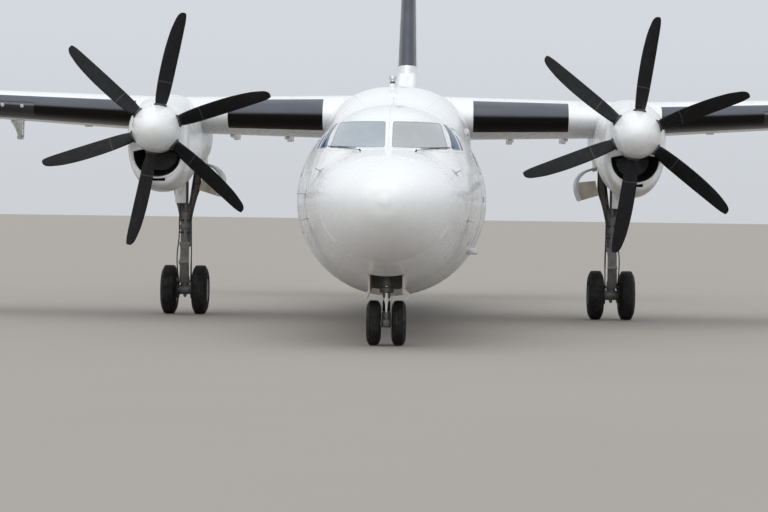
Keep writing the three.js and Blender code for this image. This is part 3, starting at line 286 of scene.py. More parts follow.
def piece(name, mesh, material, body="airframe", slot=None, replaces=(), sharp=35.0, place=(0, 0, 0)):
    """A finished piece of the object, riding on a body. Its finish is laid out from its place."""
    obj = bpy.data.objects.new(name, mesh)
    bpy.context.scene.collection.objects.link(obj)
    obj.location = place
    materials = material if isinstance(material, (list, tuple)) else [material]
    if not mesh.materials:
        for one in materials:
            mesh.materials.append(one)
    mesh.shade_smooth()
    if sharp:
        mesh.set_sharp_from_angle(angle=math.radians(sharp))
    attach(obj, body)
    if replaces:
        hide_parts(*replaces)
    return obj


def pair(name, mesh, material, slot, node=None, body=None):
    """A piece to port and its mirror image to starboard. Nodes and bodies end with the side's name too."""
    for which, made in (("port", mesh), ("starboard", mirrored(mesh))):
        piece(f"{name}_{which}", made, material, f"{body}_{which}" if body else "airframe", slot,
              [f"{node}_{which}"] if node else ())


def lathe(name, profile, axis, centre, turns=96):
    """A body turned about X or Y from (radius, along) points."""
    profile = np.asarray(profile, float)
    angle = circle(turns)
    radius, along = profile[:, 0][None, :], profile[:, 1][None, :]
    u, v = radius * np.cos(angle)[:, None], radius * np.sin(angle)[:, None]
    w = along + 0 * u
    points = np.stack([w, u, v] if axis == "x" else [u, w, v], -1) + np.asarray(centre, float)
    count = len(profile)
    faces = []
    for a in range(turns):
        b = (a + 1) % turns
        for i in range(count - 1):
            faces.append((a * count + i, a * count + i + 1, b * count + i + 1, b * count + i))
    return outward(as_mesh(name, points, faces), weld=1e-5)


def tube(path, radii, sides=24):
    """A round bar along points, with its own radius at each."""
    path = [Vector(p) for p in path]
    radii = [radii] * len(path) if isinstance(radii, (int, float)) else [float(radius) for radius in radii]
    rings = []
    side = None
    for i, point in enumerate(path):
        way = (path[min(i + 1, len(path) - 1)] - path[max(i - 1, 0)]).normalized()
        if side is None:
            side = way.orthogonal().normalized()
        side = (side - way * side.dot(way)).normalized()
        other = way.cross(side)
        rings.append([point + radii[i] * (math.cos(a) * side + math.sin(a) * other) for a in circle(sides)])
    return loft("tube", np.array([[tuple(p) for p in ring] for ring in rings]))


def crossbar(x, y, z, reach, radius, sides=24):
    """A round bar along X, as far as the reach each way."""
    return tube([(x - reach, y, z), (x + reach, y, z)], radius, sides)


def upright(x, y, steps, sides=24):
    """A round post through (height, radius) steps."""
    return tube([(x, y, z) for z, _ in steps], [radius for _, radius in steps], sides)


def smooth_path(points, steps=8):
    """A curved path through points."""
    points = [np.array(p, float) for p in points]
    ends = [2 * points[0] - points[1], *points, 2 * points[-1] - points[-2]]
    path = []
    for a, b, c, d in zip(ends, ends[1:], ends[2:], ends[3:]):
        for k in range(steps):
            t = k / steps
            bend = 2 * a - 5 * b + 4 * c - d
            path.append(0.5 * (2 * b + (c - a) * t + bend * t**2 + (3 * b - a - 3 * c + d) * t**3))
    return [tuple(p) for p in [*path, points[-1]]]


def box(low, high, bevel=0.004):
    """A block with softened edges."""
    made = bmesh.new()
    bmesh.ops.create_cube(made, size=1.0)
    low, high = Vector(low), Vector(high)
    for v in made.verts:
        v.co = Vector((low[k] + (v.co[k] + 0.5) * (high[k] - low[k]) for k in range(3)))
    if bevel:
        soften(made, bevel)
    mesh = bpy.data.meshes.new("box")
    made.to_mesh(mesh)
    made.free()
    return mesh


def prism(outline, axis, start, end, bevel=0.0):
    """A flat outline given a thickness along X, Y or Z, with softened edges."""
    outline = [tuple(p) for p in outline]
    put = {
        "x": lambda p, q, d: (d, p, q),
        "y": lambda p, q, d: (p, d, q),
        "z": lambda p, q, d: (p, q, d),
    }[axis]
    count = len(outline)
    points = [put(*p, start) for p in outline] + [put(*p, end) for p in outline]
    faces = [tuple(range(count))[::-1], tuple(range(count, 2 * count))]
    faces += [(i, (i + 1) % count, (i + 1) % count + count, i + count) for i in range(count)]
    return outward(as_mesh("prism", points, faces), bevel=bevel)


def cut_from(mesh, cuts, materials):
    """Cuts (tool, lining) pairs out of a closed mesh and keeps its smooth normals where it isn't cut."""
    tree_source = bmesh.new()
    tree_source.from_mesh(mesh)
    tree_source.normal_update()
    bmesh.ops.triangulate(tree_source, faces=tree_source.faces[:])
    tree_source.faces.ensure_lookup_table()
    tree = BVHTree.FromBMesh(tree_source)
    corner_normals = [[v.normal.copy() for v in face.verts] for face in tree_source.faces]
    corner_places = [[v.co.copy() for v in face.verts] for face in tree_source.faces]
    tree_source.free()
    for material in materials:
        mesh.materials.append(material)
    body = bpy.data.objects.new("cut_body", mesh)
    bpy.context.scene.collection.objects.link(body)
    tool_mesh = join_meshes("cut_tools", [tool for tool, _ in cuts])
    for material in materials:
        tool_mesh.materials.append(material)
    linings = [materials.index(lining) for tool, lining in cuts for _ in tool.polygons]
    for polygon, lining in zip(tool_mesh.polygons, linings):
        polygon.material_index = lining
    tool = bpy.data.objects.new("cut_tool", tool_mesh)
    bpy.context.scene.collection.objects.link(tool)
    modifier = body.modifiers.new("cut", "BOOLEAN")
    modifier.operation, modifier.object, modifier.solver = "DIFFERENCE", tool, "EXACT"
    bpy.context.view_layer.update()
    result = bpy.data.meshes.new_from_object(body.evaluated_get(bpy.context.evaluated_depsgraph_get()))
    bpy.data.objects.remove(body)
    bpy.data.objects.remove(tool)
    result.shade_smooth()
    result.set_sharp_from_angle(angle=math.radians(35))
    normals = [Vector(n.vector) for n in result.corner_normals]
    for polygon in result.polygons:
        if polygon.material_index:
            continue
        for corner in polygon.loop_indices:
            place = result.vertices[result.loops[corner].vertex_index].co
            near, facing, index, distance = tree.find_nearest(place)
            if index is None or distance > 1e-3:
                continue
            if facing.dot(polygon.normal) < 0.5:
                continue
            weights = Vector((0, 0, 0))
            for where, normal in zip(corner_places[index], corner_normals[index]):
                weights += normal / max((where - near).length, 1e-5)
            normals[corner] = weights.normalized()
    result.normals_split_custom_set([tuple(n) for n in normals])
    return result


# Sheets laid on a skin


def dense(outline, step=0.03):
    points = []
    for (x0, y0), (x1, y1) in zip(outline, [*outline[1:], outline[0]]):
        count = max(1, int(math.hypot(x1 - x0, y1 - y0) / step))
        points += [(x0 + (x1 - x0) * k / count, y0 + (y1 - y0) * k / count) for k in range(count)]
    return np.array(points)


def rounded(outline, radius, steps=5):
    """An outline with its corners rounded."""
    points = []
    for before, corner, after in zip([outline[-1], *outline[:-1]], outline, [*outline[1:], outline[0]]):
        before, corner, after = (np.array(p, float) for p in (before, corner, after))
        to_before, to_after = before - corner, after - corner
        reach = min(radius, 0.45 * np.linalg.norm(to_before), 0.45 * np.linalg.norm(to_after))
        start = corner + to_before / np.linalg.norm(to_before) * reach
        end = corner + to_after / np.linalg.norm(to_after) * reach
        for k in range(steps + 1):
            t = k / steps
            points.append(tuple((1 - t) ** 2 * start + 2 * t * (1 - t) * corner + t**2 * end))
    return points


def widened(outline, amount):
    """A closed outline of points moved outwards."""
    outline = np.asarray(outline, float)
    ahead, behind = np.roll(outline, -1, 0), np.roll(outline, 1, 0)
    way = ahead - behind
    area = np.sum(outline[:, 0] * ahead[:, 1] - ahead[:, 0] * outline[:, 1])
    normal = np.stack([way[:, 1], -way[:, 0]], -1) * np.sign(area)
    return outline + amount * normal / np.maximum(np.linalg.norm(normal, axis=1, keepdims=True), 1e-9)


def sheet(name, outline, place, lift=FINE, step=0.03, rings=8, skirt=0.004):
    """A thin sheet on a skin, with its rim turned down into it."""
    outline = dense(outline, step)
    centre = outline.mean(0)
    shares = np.linspace(1, 0.02, rings)
    loops = [place(outline, lift - skirt)] + [place(centre + (outline - centre) * t, lift) for t in shares]
    return facing_out(loft(name, np.array(loops), caps=False), centre, place)


def facing_out(mesh, centre, place):
    """Turns an open sheet's faces away from the skin under it."""
    near, far = place(np.array([centre]), 0.0)[0], place(np.array([centre]), 0.05)[0]
    mesh.update()
    way = Vector(far - near)
    total = sum(p.normal.dot(way) * p.area for p in mesh.polygons)
    if total < 0:
        mesh.flip_normals()
    return mesh


def band(name, outline, place, width, lift, step=0.03):
    """A raised frame round an outline: up at its inner edge, over, and down to the skin."""
    outline = dense(outline, step)
    edges = [(0.0, FINE / 2 - 0.004), (0.0, lift * 0.8), (0.15 * width, lift), (0.85 * width, lift),
             (width, -0.001)]
    loops = [place(widened(outline, out), up) for out, up in edges]
    return facing_out(loft(name, np.array(loops), caps=False), outline.mean(0), place)


# Lifting surfaces


def half_thickness(share, thickness):
    curve = 0.2969 * np.sqrt(share) - 0.126 * share - 0.3516 * share**2 + 0.2843 * share**3
    return 5 * thickness * (curve - 0.1036 * share**4) + 0.0015 * share


class Surface:
    """A lifting surface whose span runs along X. A share runs from its nose to its tail."""

    def __init__(self, chord, lead, height, incidence, thickness, camber):
        self.chord, self.lead, self.height = chord, lead, height
        self.incidence, self.thickness, self.camber = incidence, thickness, camber

    def point(self, x, share, rise):
        c, s = math.cos(self.incidence(x)), math.sin(self.incidence(x))
        chord = self.chord(x)
        y = aft(self.lead(x)) + chord * (share * c + rise * s)
        z = self.height(x) + chord * (rise * c - share * s)
        return np.stack([x + 0 * y, y, z], -1)

    def mean(self, share):
        return 4 * self.camber * share * (1 - share)

    def skin(self, x, share, way):
        share = np.array([share])
        return self.point(x, share, self.mean(share) + way * half_thickness(share, self.thickness(x)))[0]

    def hinge(self, x, share):
        return self.point(x, share, self.mean(share))

    def signed(self, x, root, lift=0.0):
        """Round the section: the signed square root of the share, above the nose positive."""
        share = root**2
        rise = self.mean(share) + np.sign(root) * half_thickness(share, self.thickness(x))
        points = self.point(x, share, rise)
        if lift:
            run = self.signed(x, root + 1e-4) - self.signed(x, root - 1e-4)
            normal = np.stack([0 * run[..., 0], -run[..., 2], run[..., 1]], -1)
            points = points + lift * normal / np.linalg.norm(normal, axis=-1, keepdims=True)
        return points

    def depth(self, x, share):
        return self.chord(x) * half_thickness(share, self.thickness(x))


def mix(a, b, share):
    return a + (b - a) * share


TIP_CAP = 0.18


def over_cap(x):
    return max(0.0, abs(x) - (HALF_SPAN - TIP_CAP)) / TIP_CAP


def wing_chord(x):
    return mix(3.464, 1.4, abs(x) / HALF_SPAN)


WING = Surface(
    chord=lambda x: wing_chord(x) * (1 - 0.3 * over_cap(x) ** 2),
    lead=lambda x: 10.59 - wing_chord(x) * (0.3 - 0.18 * over_cap(x) ** 2),
    height=lambda x: 3.31 + max(0.0, abs(x) - THRUST["x"]) * math.tan(math.radians(2.5)),
    incidence=lambda x: math.radians(mix(3.5, 1.5, abs(x) / HALF_SPAN)),
    thickness=lambda x: mix(0.21, 0.15, abs(x) / HALF_SPAN) * (1 - 0.75 * over_cap(x) ** 2),
    camber=0.022,
)
TAILPLANE_HALF = 4.873
TAILPLANE = Surface(
    chord=lambda x: mix(2.35, 1.05, abs(x) / TAILPLANE_HALF),
    lead=lambda x: mix(21.3, 22.1, abs(x) / TAILPLANE_HALF),
    height=lambda x: 3.38 + max(0.0, abs(x) - 0.3) * math.tan(math.radians(6)),
    incidence=lambda x: 0.0,
    thickness=lambda x: mix(0.12, 0.1, abs(x) / TAILPLANE_HALF),
    camber=0.0,
)
FIN_CAP = 0.16
FIN_ROOT = 3.3


def fin_share(z):
    return (z - FIN_ROOT) / (HEIGHT - FIN_ROOT)


def fin_cap(z):
    return max(0.0, z - (HEIGHT - FIN_CAP)) / FIN_CAP


def fin_chord(z):
    return mix(24.62, 24.52, fin_share(z)) - mix(20.2, 22.7, fin_share(z))


FIN = Surface(
    chord=lambda z: fin_chord(z) * (1 - 0.22 * fin_cap(z) ** 2),
    lead=lambda z: mix(20.2, 22.7, fin_share(z)) + 0.3 * fin_cap(z) ** 2,
    height=lambda z: 0.0,
    incidence=lambda z: 0.0,
    thickness=lambda z: 0.115 * (1 - 0.7 * fin_cap(z) ** 2),
    camber=0.0,
)
STAND_UP = Matrix(((0, 0, -1, 0), (0, 1, 0, 0), (1, 0, 0, 0), (0, 0, 0, 1)))
SKIN_STEPS = 40


def whole_section(surface, x):
    root = np.cos(np.linspace(0, np.pi, 2 * SKIN_STEPS + 1))
    return surface.signed(x, root)


def hinge_arc(x, centre, radius, angle):
    y, z = centre[1] + radius * np.cos(angle), centre[2] + radius * np.sin(angle)
    return np.stack([0 * angle + x, y, z], -1)


def cove_section(surface, x, hinge):
    """A section that ends in the hollow that a moving surface's round nose sits in."""
    deep = float(surface.depth(x, hinge))
    radius = deep * 1.03 + 0.004
    reach = math.sqrt(radius**2 - deep**2)
    end = math.sqrt(hinge - reach / surface.chord(x))
    skin = surface.signed(x, end * np.cos(np.linspace(0, np.pi, 2 * SKIN_STEPS - 11)))
    centre = surface.hinge(x, hinge)
    start = math.pi / 2 + math.asin(reach / radius)
    angle = np.linspace(2 * math.pi - start, start, 14)[1:-1]
    return np.concatenate([skin, hinge_arc(x, centre, radius, angle)])


def surface_shells(surface, spans, step=0.35):
    """Closed shells along a lifting surface, from (from, to, hinge share or None) spans."""
    shells = []
    for start, end, hinge in spans:
        count = max(2, int(abs(end - start) / step) + 1)
        places = np.linspace(start, end, count)
        rings = [cove_section(surface, x, hinge) if hinge else whole_section(surface, x) for x in places]
        shells.append(loft("shell", np.array(rings)))
    return shells


def moving_section(surface, x, hinge):
    """A moving surface's section: a round nose about the hinge line, then the skins to the tail."""
    centre = surface.hinge(x, hinge)
    radius = float(surface.depth(x, hinge)) * 0.95 - 0.002
    angle = np.linspace(math.pi / 2, 1.5 * math.pi, 22)
    nose = hinge_arc(x, centre, radius, angle)
    share = np.linspace(hinge, 1, 12)[1:]
    sunk = mix(radius / float(surface.depth(x, hinge)), 1.0, np.minimum((share - hinge) / 0.06, 1))
    rise = half_thickness(share, surface.thickness(x)) * sunk
    below = surface.point(x, share, surface.mean(share) - rise)
    above = surface.point(x, share, surface.mean(share) + rise)
    return np.concatenate([nose, below, above[::-1]])


def moving_shells(surface, start, end, hinge, gap):
    """A moving surface between its end gaps, with its hinge tube reaching across them."""
    places = np.linspace(start + gap, end - gap, max(2, int((end - start) / 0.4)))
    body = loft("moving", np.array([moving_section(surface, x, hinge) for x in places]))
    ends = [surface.hinge(x, hinge) for x in (start - 0.03, end + 0.03)]
    return [body, tube(ends, 0.016, 20)]


def boot(surface, start, end, above, below, step=0.25, lift=0.003):
    """A rubber boot round a leading edge, from the share above it to the share below it."""
    roots = np.linspace(math.sqrt(above), -math.sqrt(below), 25)
    places = np.linspace(start, end, max(2, int(abs(end - start) / step) + 1))
    rings = []
    for x in places:
        inside = surface.signed(x, roots[[0, -1]], -0.004)
        rings.append(np.concatenate([inside[:1], surface.signed(x, roots, lift), inside[1:]]))
    edge = np.concatenate([roots[:1], roots, roots[-1:]])
    first, last = surface.signed(places[0], edge, -0.004), surface.signed(places[-1], edge, -0.004)
    mesh = loft("boot", np.array([first, *rings, last]), caps=False, around=False)
    mesh.update()
    middle = mesh.polygons[len(mesh.polygons) // 2]
    if middle.normal.y > 0:
        mesh.flip_normals()
    return mesh


# Materials


class Paint:
    """A material with one shader, and short calls that add nodes to it. Places are in metres at rest."""

    def __init__(self, name, **values):
        self.material = bpy.data.materials.new(name)
        self.material.use_nodes = True
        self.tree = self.material.node_tree
        self.shader = self.tree.nodes["Principled BSDF"]
        for socket, value in values.items():
            self.shader.inputs[socket.replace("_", " ")].default_value = value
        self.place = self.node("TexCoord").outputs["Object"]
        split = self.node("SeparateXYZ", {0: self.place})
        self.x, self.y, self.z = split.outputs

    def node(self, kind, inputs=None, **settings):
        node = self.tree.nodes.new("ShaderNode" + kind)
        for key, value in settings.items():
            setattr(node, key, value)
        for key, value in (inputs or {}).items():
            self.give(node.inputs[key], value)
        return node

    def give(self, socket, value):
        if isinstance(value, bpy.types.NodeSocket):
            self.tree.links.new(value, socket)
        else:
            socket.default_value = value

    def math(self, operation, a, b=0.0, clamp=False):
        return self.node("Math", {0: a, 1: b}, operation=operation, use_clamp=clamp).outputs[0]

    def times(self, a, b):
        return self.math("MULTIPLY", a, b)

    def noise(self, scale, detail=4.0, stretch=(1, 1, 1), roughness=0.55):
        stretched = self.node("Mapping", {"Vector": self.place, "Scale": stretch})
        inputs = {"Vector": stretched.outputs[0], "Scale": scale, "Detail": detail, "Roughness": roughness}
        return self.node("TexNoise", inputs).outputs[0]

    def between(self, value, low, high, start=0.0, end=1.0):
        """The value's place between low and high, smoothly from start to end."""
        inputs = {"Value": value, "From Min": low, "From Max": high, "To Min": start, "To Max": end}
        return self.node("MapRange", inputs, interpolation_type="SMOOTHSTEP").outputs[0]

    def mix(self, share, a, b):
        node = self.node("Mix", {"Factor": share}, data_type="RGBA")
        for socket, value in ((node.inputs[6], a), (node.inputs[7], b)):
            self.give(socket, (*value, 1.0) if isinstance(value, tuple) and len(value) == 3 else value)
        return node.outputs[2]

    def lines(self, value, spacing, width, phase=0.0):
        """1 on lines a spacing apart, fading to 0 over the width."""
        wave = self.math("PINGPONG", self.math("ADD", value, phase + 100 * spacing), spacing / 2)
        return self.between(wave, 0.25 * width, width, 1.0, 0.0)

    def most(self, *values):
        total = values[0]
        for value in values[1:]:
            total = self.math("MAXIMUM", total, value)
        return total

    def set(self, socket, value):
        self.give(self.shader.inputs[socket], value)

    def colour(self, share, a, b):
        self.set("Base Color", self.mix(share, a, b))

    def rough(self, scale, detail, low, high, least, most):
        """Roughness from least to most, in patches."""
        self.set("Roughness", self.between(self.noise(scale, detail), low, high, least, most))

    def bump(self, height, strength, distance):
        inputs = {"Strength": strength, "Distance": distance, "Height": height}
        self.set("Normal", self.node("Bump", inputs).outputs[0])
        return self.material


WHITE = (0.79, 0.80, 0.81)
WHITE_AGED = (0.74, 0.75, 0.75)
# The colour of streak dirt, and of the painted shade and ground reflection toward a belly.
SOOT_AND_BELLY_SHADE = (0.24, 0.21, 0.18)
SEAM = (0.30, 0.31, 0.32)


def white_skin(name, seams, dirt=0.35, belly=None):
    """Glossy white aircraft paint with fine seams, rivet rows, faint waviness and dirt in streaks. Given a
    belly's heights, it also darkens and browns toward the bottom: partly grime, partly painted shade and
    ground reflection.
    """
    paint = Paint(name, Roughness=0.3, Coat_Weight=0.4, Coat_Roughness=0.1, Specular_IOR_Level=0.4)
    seam = seams(paint)
    tone = paint.mix(paint.between(paint.noise(0.9, 5), 0.35, 0.75), WHITE, WHITE_AGED)
    streak = paint.between(paint.noise(2.2, 6, (1, 0.12, 1)), 0.52, 0.78)
    speck = paint.between(paint.noise(38, 3), 0.66, 0.8)
    dirt_and_belly_shade = paint.times(paint.math("ADD", streak, paint.times(speck, 0.04)), dirt)
    # Darker and browner toward the belly: partly grime, partly painted shade and painted ground reflection.
    if belly is not None:
        low = paint.between(paint.z, belly[0], belly[1], 1.0, 0.0)
        patchy = paint.between(paint.noise(1.6, 6, (1, 0.3, 1)), 0.3, 0.7, 0.35, 1.0)
        dirt_and_belly_shade = paint.math("ADD", dirt_and_belly_shade, paint.times(low, patchy), clamp=True)
    tone = paint.mix(paint.times(dirt_and_belly_shade, 0.55), tone, SOOT_AND_BELLY_SHADE)
    paint.colour(paint.times(seam, 0.4), tone, SEAM)
    rough = paint.between(paint.noise(6, 4), 0.3, 0.8, 0.24, 0.38)
    paint.set("Roughness", paint.math("ADD", rough, paint.times(dirt_and_belly_shade, 0.25)))
    wavy = paint.times(paint.noise(3.2, 2), 0.2)
    return paint.bump(paint.math("SUBTRACT", wavy, paint.times(seam, 0.5)), 0.2, 0.004)


def body_seams(spacing, angles, centre, rivets=0.03):
    """Seams round a long body and along it, with rivet rows beside them."""

    def seams(paint):
        ring = paint.lines(paint.y, spacing, 0.006)
        rise = paint.math("SUBTRACT", paint.z, centre[1])
        out = paint.math("SUBTRACT", paint.x, centre[0])
        angle = paint.math("ARCTAN2", out, rise)
        along = paint.lines(angle, angles, 0.005)
        near_ring = paint.lines(paint.y, spacing, 0.024)
        dots = paint.times(paint.lines(angle, rivets, 0.004), paint.lines(paint.y, rivets, 0.004))
        return paint.most(ring, along, paint.times(paint.times(dots, near_ring), 0.2))

    return seams


def span_seams(spanwise, chordwise):
    """Seams across a lifting surface and along its span, with rivet rows."""

    def seams(paint):
        ribs = paint.lines(paint.x, spanwise, 0.005)
        spars = paint.lines(paint.y, chordwise, 0.005)
        dots = paint.times(paint.lines(paint.x, 0.03, 0.004), paint.lines(paint.y, 0.03, 0.004))
        rows = paint.times(dots, paint.lines(paint.x, spanwise / 2, 0.014))
        return paint.most(ribs, spars, paint.times(rows, 0.3))

    return seams


def fin_seams(paint):
    ribs = paint.lines(paint.z, 0.62, 0.005)
    spars = paint.lines(paint.y, 0.9, 0.005)
    return paint.most(ribs, spars)


def plain_seams(paint):
    return paint.lines(paint.y, 0.8, 0.004, 0.21)


def rubber_boot():
    """De-icing rubber: black below, a painted bluish sky sheen on its upper side in patches, and faint
    ripples from its tubes.
    """
    coat = {"Coat_Weight": 0.08, "Coat_Roughness": 0.05}
    paint = Paint("boot_rubber", Roughness=0.2, Specular_IOR_Level=0.12, **coat)
    rise = paint.node("SeparateXYZ", {0: paint.node("TexCoord").outputs["Normal"]}).outputs[2]
    patchy = paint.between(paint.noise(3, 6, (0.35, 1, 1)), 0.1, 0.9, 0.7, 1.0)
    # Painted sky reflection: a bluish sheen where the boot faces up, in patches.
    painted_sky_sheen = paint.times(paint.between(rise, -0.03, 0.35), patchy)
    paint.colour(painted_sky_sheen, (0.004, 0.0036, 0.0034), (0.105, 0.115, 0.135))
    paint.set("Roughness", paint.between(paint.noise(5, 4, (0.4, 1, 1)), 0.3, 0.75, 0.17, 0.28))
    return paint.bump(paint.noise(2.2, 3, (0.5, 1, 1)), 0.08, 0.004)


def tyre_rubber():
    paint = Paint("tyre_rubber_worn", Roughness=0.8, Specular_IOR_Level=0.22)
    dust = paint.between(paint.noise(7, 7), 0.38, 0.72)
    fine = paint.between(paint.noise(90, 3), 0.45, 0.7, 0.0, 0.5)
    paint.colour(paint.math("ADD", dust, fine, clamp=True), (0.006, 0.006, 0.007), (0.022, 0.02, 0.018))
    paint.rough(20, 4, 0.3, 0.7, 0.55, 0.85)
    return paint.bump(paint.noise(160, 4), 0.3, 0.0015)


def enamel(name, colour, dark, rough=0.38, metallic=0.0, grime=0.5):
    """Satin enamel on forged metal, with grease in patches and wear."""
    paint = Paint(name, Metallic=metallic, Specular_IOR_Level=0.5)
    grease = paint.between(paint.noise(9, 6, (1, 1, 0.45)), 0.48, 0.72)
    chips = paint.between(paint.noise(70, 3), 0.68, 0.76)
    tone = paint.mix(paint.times(grease, grime), colour, dark)
    paint.colour(paint.times(chips, 0.4), tone, tuple(0.5 * c for c in colour))
    paint.rough(16, 4, 0.3, 0.7, rough - 0.08, rough + 0.14)
    return paint.bump(paint.noise(120, 3), 0.12, 0.0008)


def heat_metal():
    """Exhaust metal, straw and blue where it has been hot, sooty at its end."""
    paint = Paint("exhaust_metal", Metallic=0.9, Roughness=0.42)
    heat = paint.between(paint.math("ADD", paint.y, paint.times(paint.noise(7, 5), 0.5)), -2.2, -0.8)
    tone = paint.mix(heat, (0.46, 0.42, 0.37), (0.17, 0.13, 0.11))
    paint.colour(paint.between(paint.noise(14, 5), 0.45, 0.75), tone, (0.24, 0.22, 0.25))
    paint.rough(30, 4, 0.3, 0.7, 0.32, 0.58)
    return paint.bump(paint.noise(80, 3), 0.15, 0.001)


def blade_finish():
    """Satin near-black blade with worn dust and a pale mark at two fifths of its radius."""
    paint = Paint("blade_finish", Roughness=0.45, Specular_IOR_Level=0.2)
    squares = paint.math("ADD", paint.times(paint.x, paint.x), paint.times(paint.z, paint.z))
    radius = paint.math("SQRT", squares)
    worn = paint.between(paint.noise(11, 6), 0.45, 0.8)
    tone = paint.mix(worn, (0.003, 0.003, 0.004), (0.009, 0.009, 0.01))
    mark = paint.times(paint.between(radius, 0.725, 0.73), paint.between(radius, 0.736, 0.741, 1.0, 0.0))
    paint.colour(paint.times(mark, 0.45), tone, (0.12, 0.115, 0.11))
    paint.rough(18, 5, 0.3, 0.75, 0.36, 0.55)
    return paint.bump(paint.noise(140, 3), 0.08, 0.0006)


def cockpit_glass(name, low, high, shine):
    """Coated cockpit glass whose tint is a painted reflection: from a low colour at its sill to a high one at
    its head, and warm to port.
    """
    coat = {"Coat_Weight": 0.6 * shine, "Coat_Roughness": 0.02}
    paint = Paint(name, Roughness=0.05, Specular_IOR_Level=shine, **coat)
    smear = paint.between(paint.noise(5, 5, (1, 1, 0.4)), 0.4, 0.85)
    # Painted reflection: the tint changes from the sill to the head of the pane.
    tone = paint.mix(paint.between(paint.z, 2.6, 2.95), low, high)
    # Painted warm reflection on the port side.
    port = paint.times(paint.between(paint.x, -0.05, 0.05), 0.3)
    tone = paint.mix(port, tone, tuple(c * warm for c, warm in zip(low, (1.25, 1.0, 0.7))))
    paint.colour(paint.times(smear, 0.25), tone, tuple(1.5 * c for c in low))
    paint.rough(12, 4, 0.3, 0.8, 0.03, 0.1)
    return paint.bump(paint.noise(2.5, 2), 0.03, 0.002)


def cabin_glass():
    paint = Paint("cabin_glass", Roughness=0.06, Specular_IOR_Level=0.8, Coat_Weight=0.8, Coat_Roughness=0.03)
    shade = paint.between(paint.noise(1.7, 2, (0, 1, 0)), 0.42, 0.58)
    paint.colour(shade, (0.022, 0.026, 0.032), (0.09, 0.095, 0.10))
    return paint.bump(paint.noise(4, 2), 0.03, 0.002)


def lens(name, colour, glow=0.0):
    paint = Paint(name, Roughness=0.08, Specular_IOR_Level=0.8, Coat_Weight=1.0, Coat_Roughness=0.03)
    paint.colour(paint.between(paint.noise(40, 3), 0.3, 0.8), colour, tuple(0.55 * c for c in colour))
    paint.shader.inputs["Emission Color"].default_value = (*colour, 1.0)
    paint.shader.inputs["Emission Strength"].default_value = glow
    ribs = paint.math("ADD", paint.lines(paint.x, 0.012, 0.005), paint.lines(paint.z, 0.012, 0.005))
    return paint.bump(ribs, 0.2, 0.001)


def chrome():
    paint = Paint("chrome", Metallic=1.0, Roughness=0.12)
    paint.colour(paint.noise(20, 4), (0.72, 0.72, 0.73), (0.5, 0.49, 0.47))
    paint.rough(40, 4, 0.3, 0.8, 0.08, 0.24)
    return paint.bump(paint.noise(90, 2), 0.03, 0.0005)


def door_paint(name, way):
    """Gear door: white on the side that faces out (way +1) or in (-1), beige primer elsewhere."""
    paint = Paint(name, Roughness=0.35, Coat_Weight=0.25, Coat_Roughness=0.12)
    facing = paint.node("SeparateXYZ", {0: paint.node("TexCoord").outputs["Normal"]}).outputs[0]
    side = paint.times(paint.math("SIGN", paint.x), paint.times(facing, way))
    outside = paint.between(side, 0.15, 0.35)
    grime = paint.between(paint.noise(5, 6, (1, 1, 0.5)), 0.42, 0.75)
    skin = paint.mix(paint.times(grime, 0.3), WHITE, (0.45, 0.42, 0.38))
    primer = paint.mix(paint.times(grime, 0.7), (0.47, 0.42, 0.34), (0.22, 0.18, 0.14))
    paint.colour(outside, primer, skin)
    paint.rough(14, 4, 0.3, 0.7, 0.28, 0.5)
    return paint.bump(paint.noise(30, 3), 0.1, 0.001)


# The pair after the dirt gives the heights over which a skin darkens toward its belly: partly grime, partly
# painted shade and ground reflection.
FUSELAGE_PAINT = white_skin("fuselage_paint", body_seams(1.27, math.pi / 5, (0, AXIS_Z)), 0.12, (0.5, 1.35))
RADOME_PAINT = white_skin("radome_paint", lambda paint: paint.lines(paint.y, 40.0, 0.004), 0.12, (0.9, 1.5))
FAIRING_PAINT = white_skin("fairing_paint", body_seams(0.9, math.pi / 4, (0, 2.9)), 0.12)
WING_PAINT = white_skin("wing_paint", span_seams(0.86, 0.55), 0.4)
FIN_PAINT = white_skin("fin_paint", fin_seams, 0.35)
NACELLE_PAINT = white_skin("nacelle_paint", body_seams(0.74, math.pi / 3, (0, 2.95)), 0.45, (2.0, 2.45))
PLAIN_PAINT = white_skin("plain_paint", plain_seams, 0.3)
SPINNER_PAINT = white_skin("spinner_paint", lambda paint: paint.lines(paint.y, 40.0, 0.004, 16.0), 0.3)
OUTER_DOOR_PAINT = door_paint("outer_door_paint", 1)
INNER_DOOR_PAINT = door_paint("inner_door_paint", -1)
BOOT = rubber_boot()
TYRE = tyre_rubber()
GEAR = enamel("gear_enamel", (0.115, 0.115, 0.115), (0.04, 0.034, 0.028))
GEAR_LINK = enamel("gear_link", (0.17, 0.165, 0.155), (0.06, 0.05, 0.042), 0.34)
GEAR_BROWN = enamel("gear_yoke", (0.075, 0.062, 0.05), (0.03, 0.024, 0.02), 0.42)
GEAR_LIGHT = enamel("gear_fitting", (0.4, 0.4, 0.39), (0.13, 0.115, 0.1), 0.32, 0.5)
RIM = enamel("rim_enamel", (0.5, 0.51, 0.52), (0.12, 0.1, 0.085), 0.36, 0.2, 0.7)
DARK = enamel("dark_fitting", (0.035, 0.035, 0.037), (0.015, 0.014, 0.013), 0.45)
HOSE = enamel("hose_rubber", (0.02, 0.02, 0.022), (0.05, 0.045, 0.04), 0.6)
BAY = enamel("bay_primer", (0.22, 0.20, 0.16), (0.06, 0.05, 0.04), 0.55)
DUCT = enamel("duct_lining", (0.012, 0.012, 0.013), (0.03, 0.027, 0.024), 0.5)
FRAME = enamel("frame_metal", (0.46, 0.47, 0.48), (0.2, 0.19, 0.18), 0.35, 0.55, 0.3)
SEAL = enamel("seal_grey", (0.12, 0.125, 0.13), (0.05, 0.05, 0.05), 0.6)
